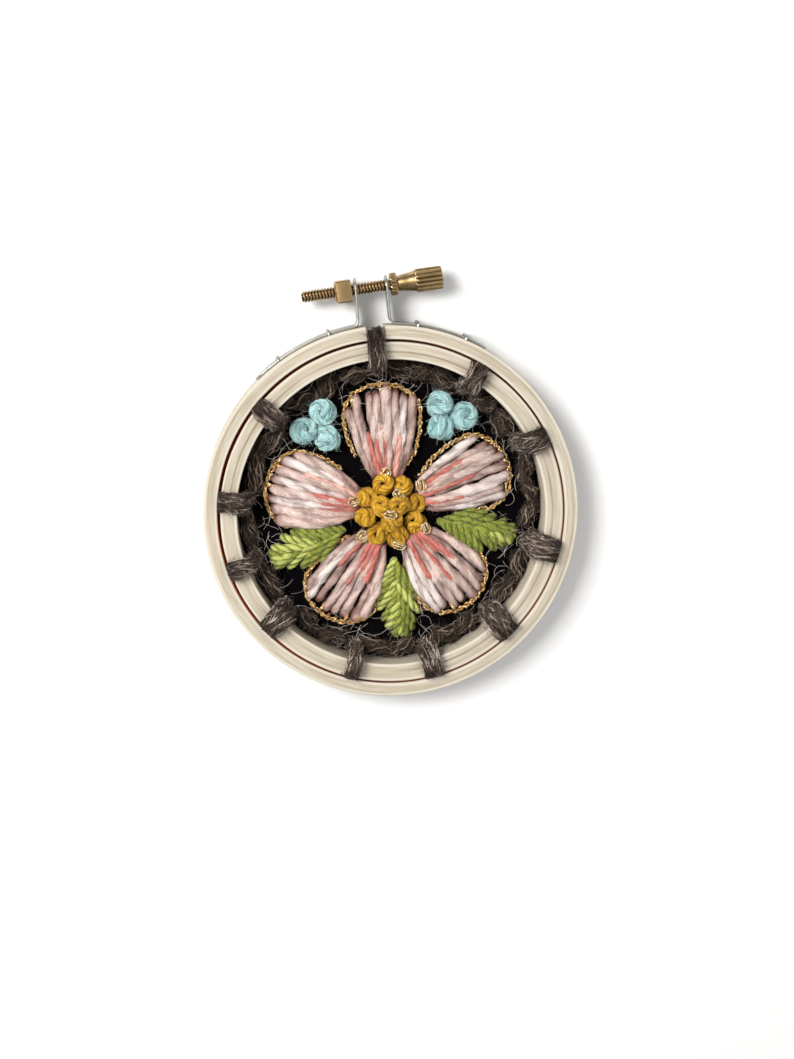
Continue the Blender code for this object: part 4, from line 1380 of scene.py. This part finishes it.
# Even points along the middle of a strip, from its far end to the top of its ear
def stripRoute(side, farEnd):
    hand = -1 if side == "left" else 1
    radius = hoop["outerOut"] + 0.05 + strips["thickness"] / 2
    bend, ear = strips["bend"], strips["ear"]
    centre = Vector((ear + bend, math.sqrt((radius + bend) ** 2 - (ear + bend) ** 2), 0))
    meets = math.degrees(math.atan2(centre.y, centre.x))
    far = farEnd if side == "right" else 180 - farEnd
    route = [polar(mix(far, meets, i / 60), radius) for i in range(61)]
    route += [centre + polar(180 + meets * (1 - i / 10), bend) for i in range(1, 11)]
    start = route[-1].copy()
    route += [start.lerp(Vector((ear - 0.12, strips["top"], 0)), i / 22) for i in range(1, 23)]
    return [Vector((hand * p.x, p.y, 0)) for p in route]


# Bent steel strip, extruded step by step along its route
def makeStrip(side, farEnd):
    route = stripRoute(side, farEnd)
    walked = [0.0]
    for a, b in zip(route, route[1:]):
        walked.append(walked[-1] + (b - a).length)
    thick, corner = strips["thickness"] / 2, strips["rounding"]

    # 16 points of the rounded section at a step of the route, narrower towards both ends
    def section(i):
        ahead = (route[min(i + 1, len(route) - 1)] - route[max(i - 1, 0)]).normalized()
        out = Vector((-ahead.y, ahead.x, 0))
        near = min(walked[i], walked[-1] - walked[i])
        end = math.sqrt(max(1 - (1 - min(near / 2.2, 1.0)) ** 2, 0.02))
        half = strips["width"] / 2 * end
        spots = []
        for k, (s, t) in enumerate(((1, 1), (-1, 1), (-1, -1), (1, -1))):
            for step in range(4):
                turn = math.radians(90 * k + 30 * step)
                across = s * (thick - corner) + corner * math.cos(turn)
                level = hoop["depth"] / 2 + t * max(half - corner, 0) + corner * math.sin(turn)
                spots.append((route[i] + out * across + Vector((0, 0, level))) * mm)
        return spots

    bm = bmesh.new()
    spotNumber = bm.verts.layers.int.new("spot")
    end = bm.faces.new([bm.verts.new(spot) for spot in section(0)])
    for k, vert in enumerate(end.verts):
        vert[spotNumber] = k
    for i in range(1, len(route)):
        grown = bmesh.ops.extrude_face_region(bm, geom=[end])["geom"]
        if i > 1:
            bmesh.ops.delete(bm, geom=[end], context="FACES_ONLY")
        end = next(part for part in grown if isinstance(part, bmesh.types.BMFace))
        spots = section(i)
        for vert in end.verts:
            vert.co = spots[vert[spotNumber]]
    bm.verts.layers.int.remove(spotNumber)
    bmesh.ops.recalc_face_normals(bm, faces=bm.faces)
    bm = boreStrip(bm, route[-1].x)
    strip = piece(f"{side}Strip", bm, steel, angle=35)
    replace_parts(strip, f"bracket_{side}")


# Cut the screw's hole through the ear
def boreStrip(bm, along):
    things = []
    for name, part in (("strip", bm), ("bore", bmesh.new())):
        if name == "bore":
            bmesh.ops.create_cone(part, cap_ends=True, segments=40, radius1=strips["bore"] * mm,
                                  radius2=strips["bore"] * mm, depth=4 * mm)
            bmesh.ops.rotate(part, verts=part.verts, matrix=Matrix.Rotation(math.radians(90), 3, "Y"))
            bmesh.ops.translate(part, verts=part.verts, vec=(along * mm, 0, 0))
            placeOnScrew(part)
        mesh = bpy.data.meshes.new(name)
        part.to_mesh(mesh)
        part.free()
        thing = bpy.data.objects.new(name, mesh)
        bpy.context.collection.objects.link(thing)
        things.append(thing)
    cut = things[0].modifiers.new("bore", "BOOLEAN")
    cut.operation = "DIFFERENCE"
    cut.solver = "EXACT"
    cut.object = things[1]
    graph = bpy.context.evaluated_depsgraph_get()
    mesh = bpy.data.meshes.new_from_object(things[0].evaluated_get(graph))
    bored = bmesh.new()
    bored.from_mesh(mesh)
    bpy.data.meshes.remove(mesh)
    for thing in things:
        data = thing.data
        bpy.data.objects.remove(thing)
        bpy.data.meshes.remove(data)
    return bored


staple = {"wire": 0.36, "span": 7.0, "corner": 0.6}


# Round wire over a strip, with both ends in the wood
def makeStaple(side, number, angle):
    middle, half, corner = hoop["depth"] / 2, staple["span"] / 2, staple["corner"]
    over = hoop["outerOut"] + strips["thickness"] + 0.1 + staple["wire"] * 0.8
    legs = []
    for hand in (-1, 1):
        leg = [polar(angle, hoop["outerOut"] - 0.4, middle + hand * half)]
        for i in range(7):
            turn = math.radians(15 * i)
            level = middle + hand * (half - corner + corner * math.cos(turn))
            leg.append(polar(angle, over - corner + corner * math.sin(turn), level))
        legs.append(leg)
    points = legs[0] + legs[1][::-1]
    bm = strandMesh([{"points": points, "radius": [staple["wire"]] * len(points)}], sides=14)
    wire = piece(f"{side}Staple{number}", bm, steel)
    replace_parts(wire, f"staple_{side}_{number}")


makeScrew()
makeNut()
for side, farEnd, stapleAngles in strips["sides"]:
    makeStrip(side, farEnd)
    for number, angle in enumerate(stapleAngles, 1):
        makeStaple(side, number, angle)
print("clamp ready")


# Floor, light and camera

photo = {"width": 794, "height": 1059, "ringPixels": 375.9, "middle": (392.1, 514.2)}
view = {"distance": 380.0, "tilt": 11.0, "towards": 107.0, "up": 85.0, "sensor": 36.0}
floorLook = {"size": 1.5, "below": 0.05, "dark": (0.86, 0.87, 0.88), "light": (0.90, 0.90, 0.90)}
# place in metres, size, power and colour
lights = {"key": ((-0.42, 0.30, 0.62), 0.36, 7.2, (1.0, 0.98, 0.95)),
          "fill": ((0.50, -0.25, 0.45), 0.7, 0.9, (0.95, 0.97, 1.0))}
sky = {"low": (0.26, 0.26, 0.27), "high": (1.0, 0.99, 0.98), "strength": 0.64}


def makeFloor():
    bm = bmesh.new()
    bmesh.ops.create_grid(bm, x_segments=2, y_segments=2, size=floorLook["size"])
    bmesh.ops.translate(bm, verts=bm.verts, vec=(0, 0, -floorLook["below"] * mm))
    mesh = bpy.data.meshes.new("floor")
    bm.to_mesh(mesh)
    bm.free()
    material, tree, shader = newMaterial("palePaper", 0.8)
    tint = rangeNode(tree, noiseNode(tree, objectPosition(tree), 30.0, 3.0), 0.3, 0.7, 0.0, 1.0)
    link(tree, colourMix(tree, tint, floorLook["dark"], floorLook["light"]), shader.inputs["Base Color"])
    mesh.materials.append(material)
    floor = bpy.data.objects.new("floor", mesh)
    bpy.context.collection.objects.link(floor)


def makeLight(name, place, size, power, colour):
    data = bpy.data.lights.new(name, "AREA")
    data.size = size
    data.energy = power
    data.color = colour
    light = bpy.data.objects.new(name, data)
    light.location = place
    light.rotation_euler = (-Vector(place)).to_track_quat("-Z", "Y").to_euler()
    bpy.context.collection.objects.link(light)


def makeWorld():
    world = bpy.data.worlds.new("studio")
    world.use_nodes = True
    tree = world.node_tree
    background = tree.nodes["Background"]
    split = tree.nodes.new("ShaderNodeSeparateXYZ")
    link(tree, tree.nodes.new("ShaderNodeTexCoord").outputs["Generated"], split.inputs[0])
    height = rangeNode(tree, split.outputs[2], 0.1, 1.0)
    link(tree, colourMix(tree, height, sky["low"], sky["high"]), background.inputs["Color"])
    background.inputs["Strength"].default_value = sky["strength"]
    bpy.context.scene.world = world


def makeCamera():
    pixel = (hoop["outerOut"] * 2) / photo["ringPixels"]
    data = bpy.data.cameras.new("camera")
    data.sensor_width = view["sensor"]
    data.lens = view["sensor"] * view["distance"] / (photo["height"] * pixel)
    data.clip_start = 0.01
    camera = bpy.data.objects.new("camera", data)
    tilt = math.radians(view["tilt"])
    away = polar(view["towards"], math.sin(tilt), math.cos(tilt))
    right = polar(view["up"], 1.0).cross(away).normalized()
    up = away.cross(right)
    middle = Vector((0, 0, hoop["depth"]))
    # the ring's middle lies a little beside the photo's
    acrossPixels = photo["width"] / 2 - photo["middle"][0]
    upPixels = photo["middle"][1] - photo["height"] / 2
    target = middle + (right * acrossPixels + up * upPixels) * pixel
    turned = Matrix((right, up, away)).transposed().to_4x4()
    camera.matrix_world = Matrix.Translation((target + away * view["distance"]) * mm) @ turned
    bpy.context.collection.objects.link(camera)
    bpy.context.scene.camera = camera


makeFloor()
makeWorld()
for name, (place, size, power, colour) in lights.items():
    makeLight(name, place, size, power, colour)
makeCamera()
bpy.context.scene.view_settings.view_transform = "Standard"
print("stage ready")

meshes = [thing.data for thing in bpy.data.objects if thing.type == "MESH"]
print("triangles", sum(len(face.vertices) - 2 for mesh in meshes for face in mesh.polygons))
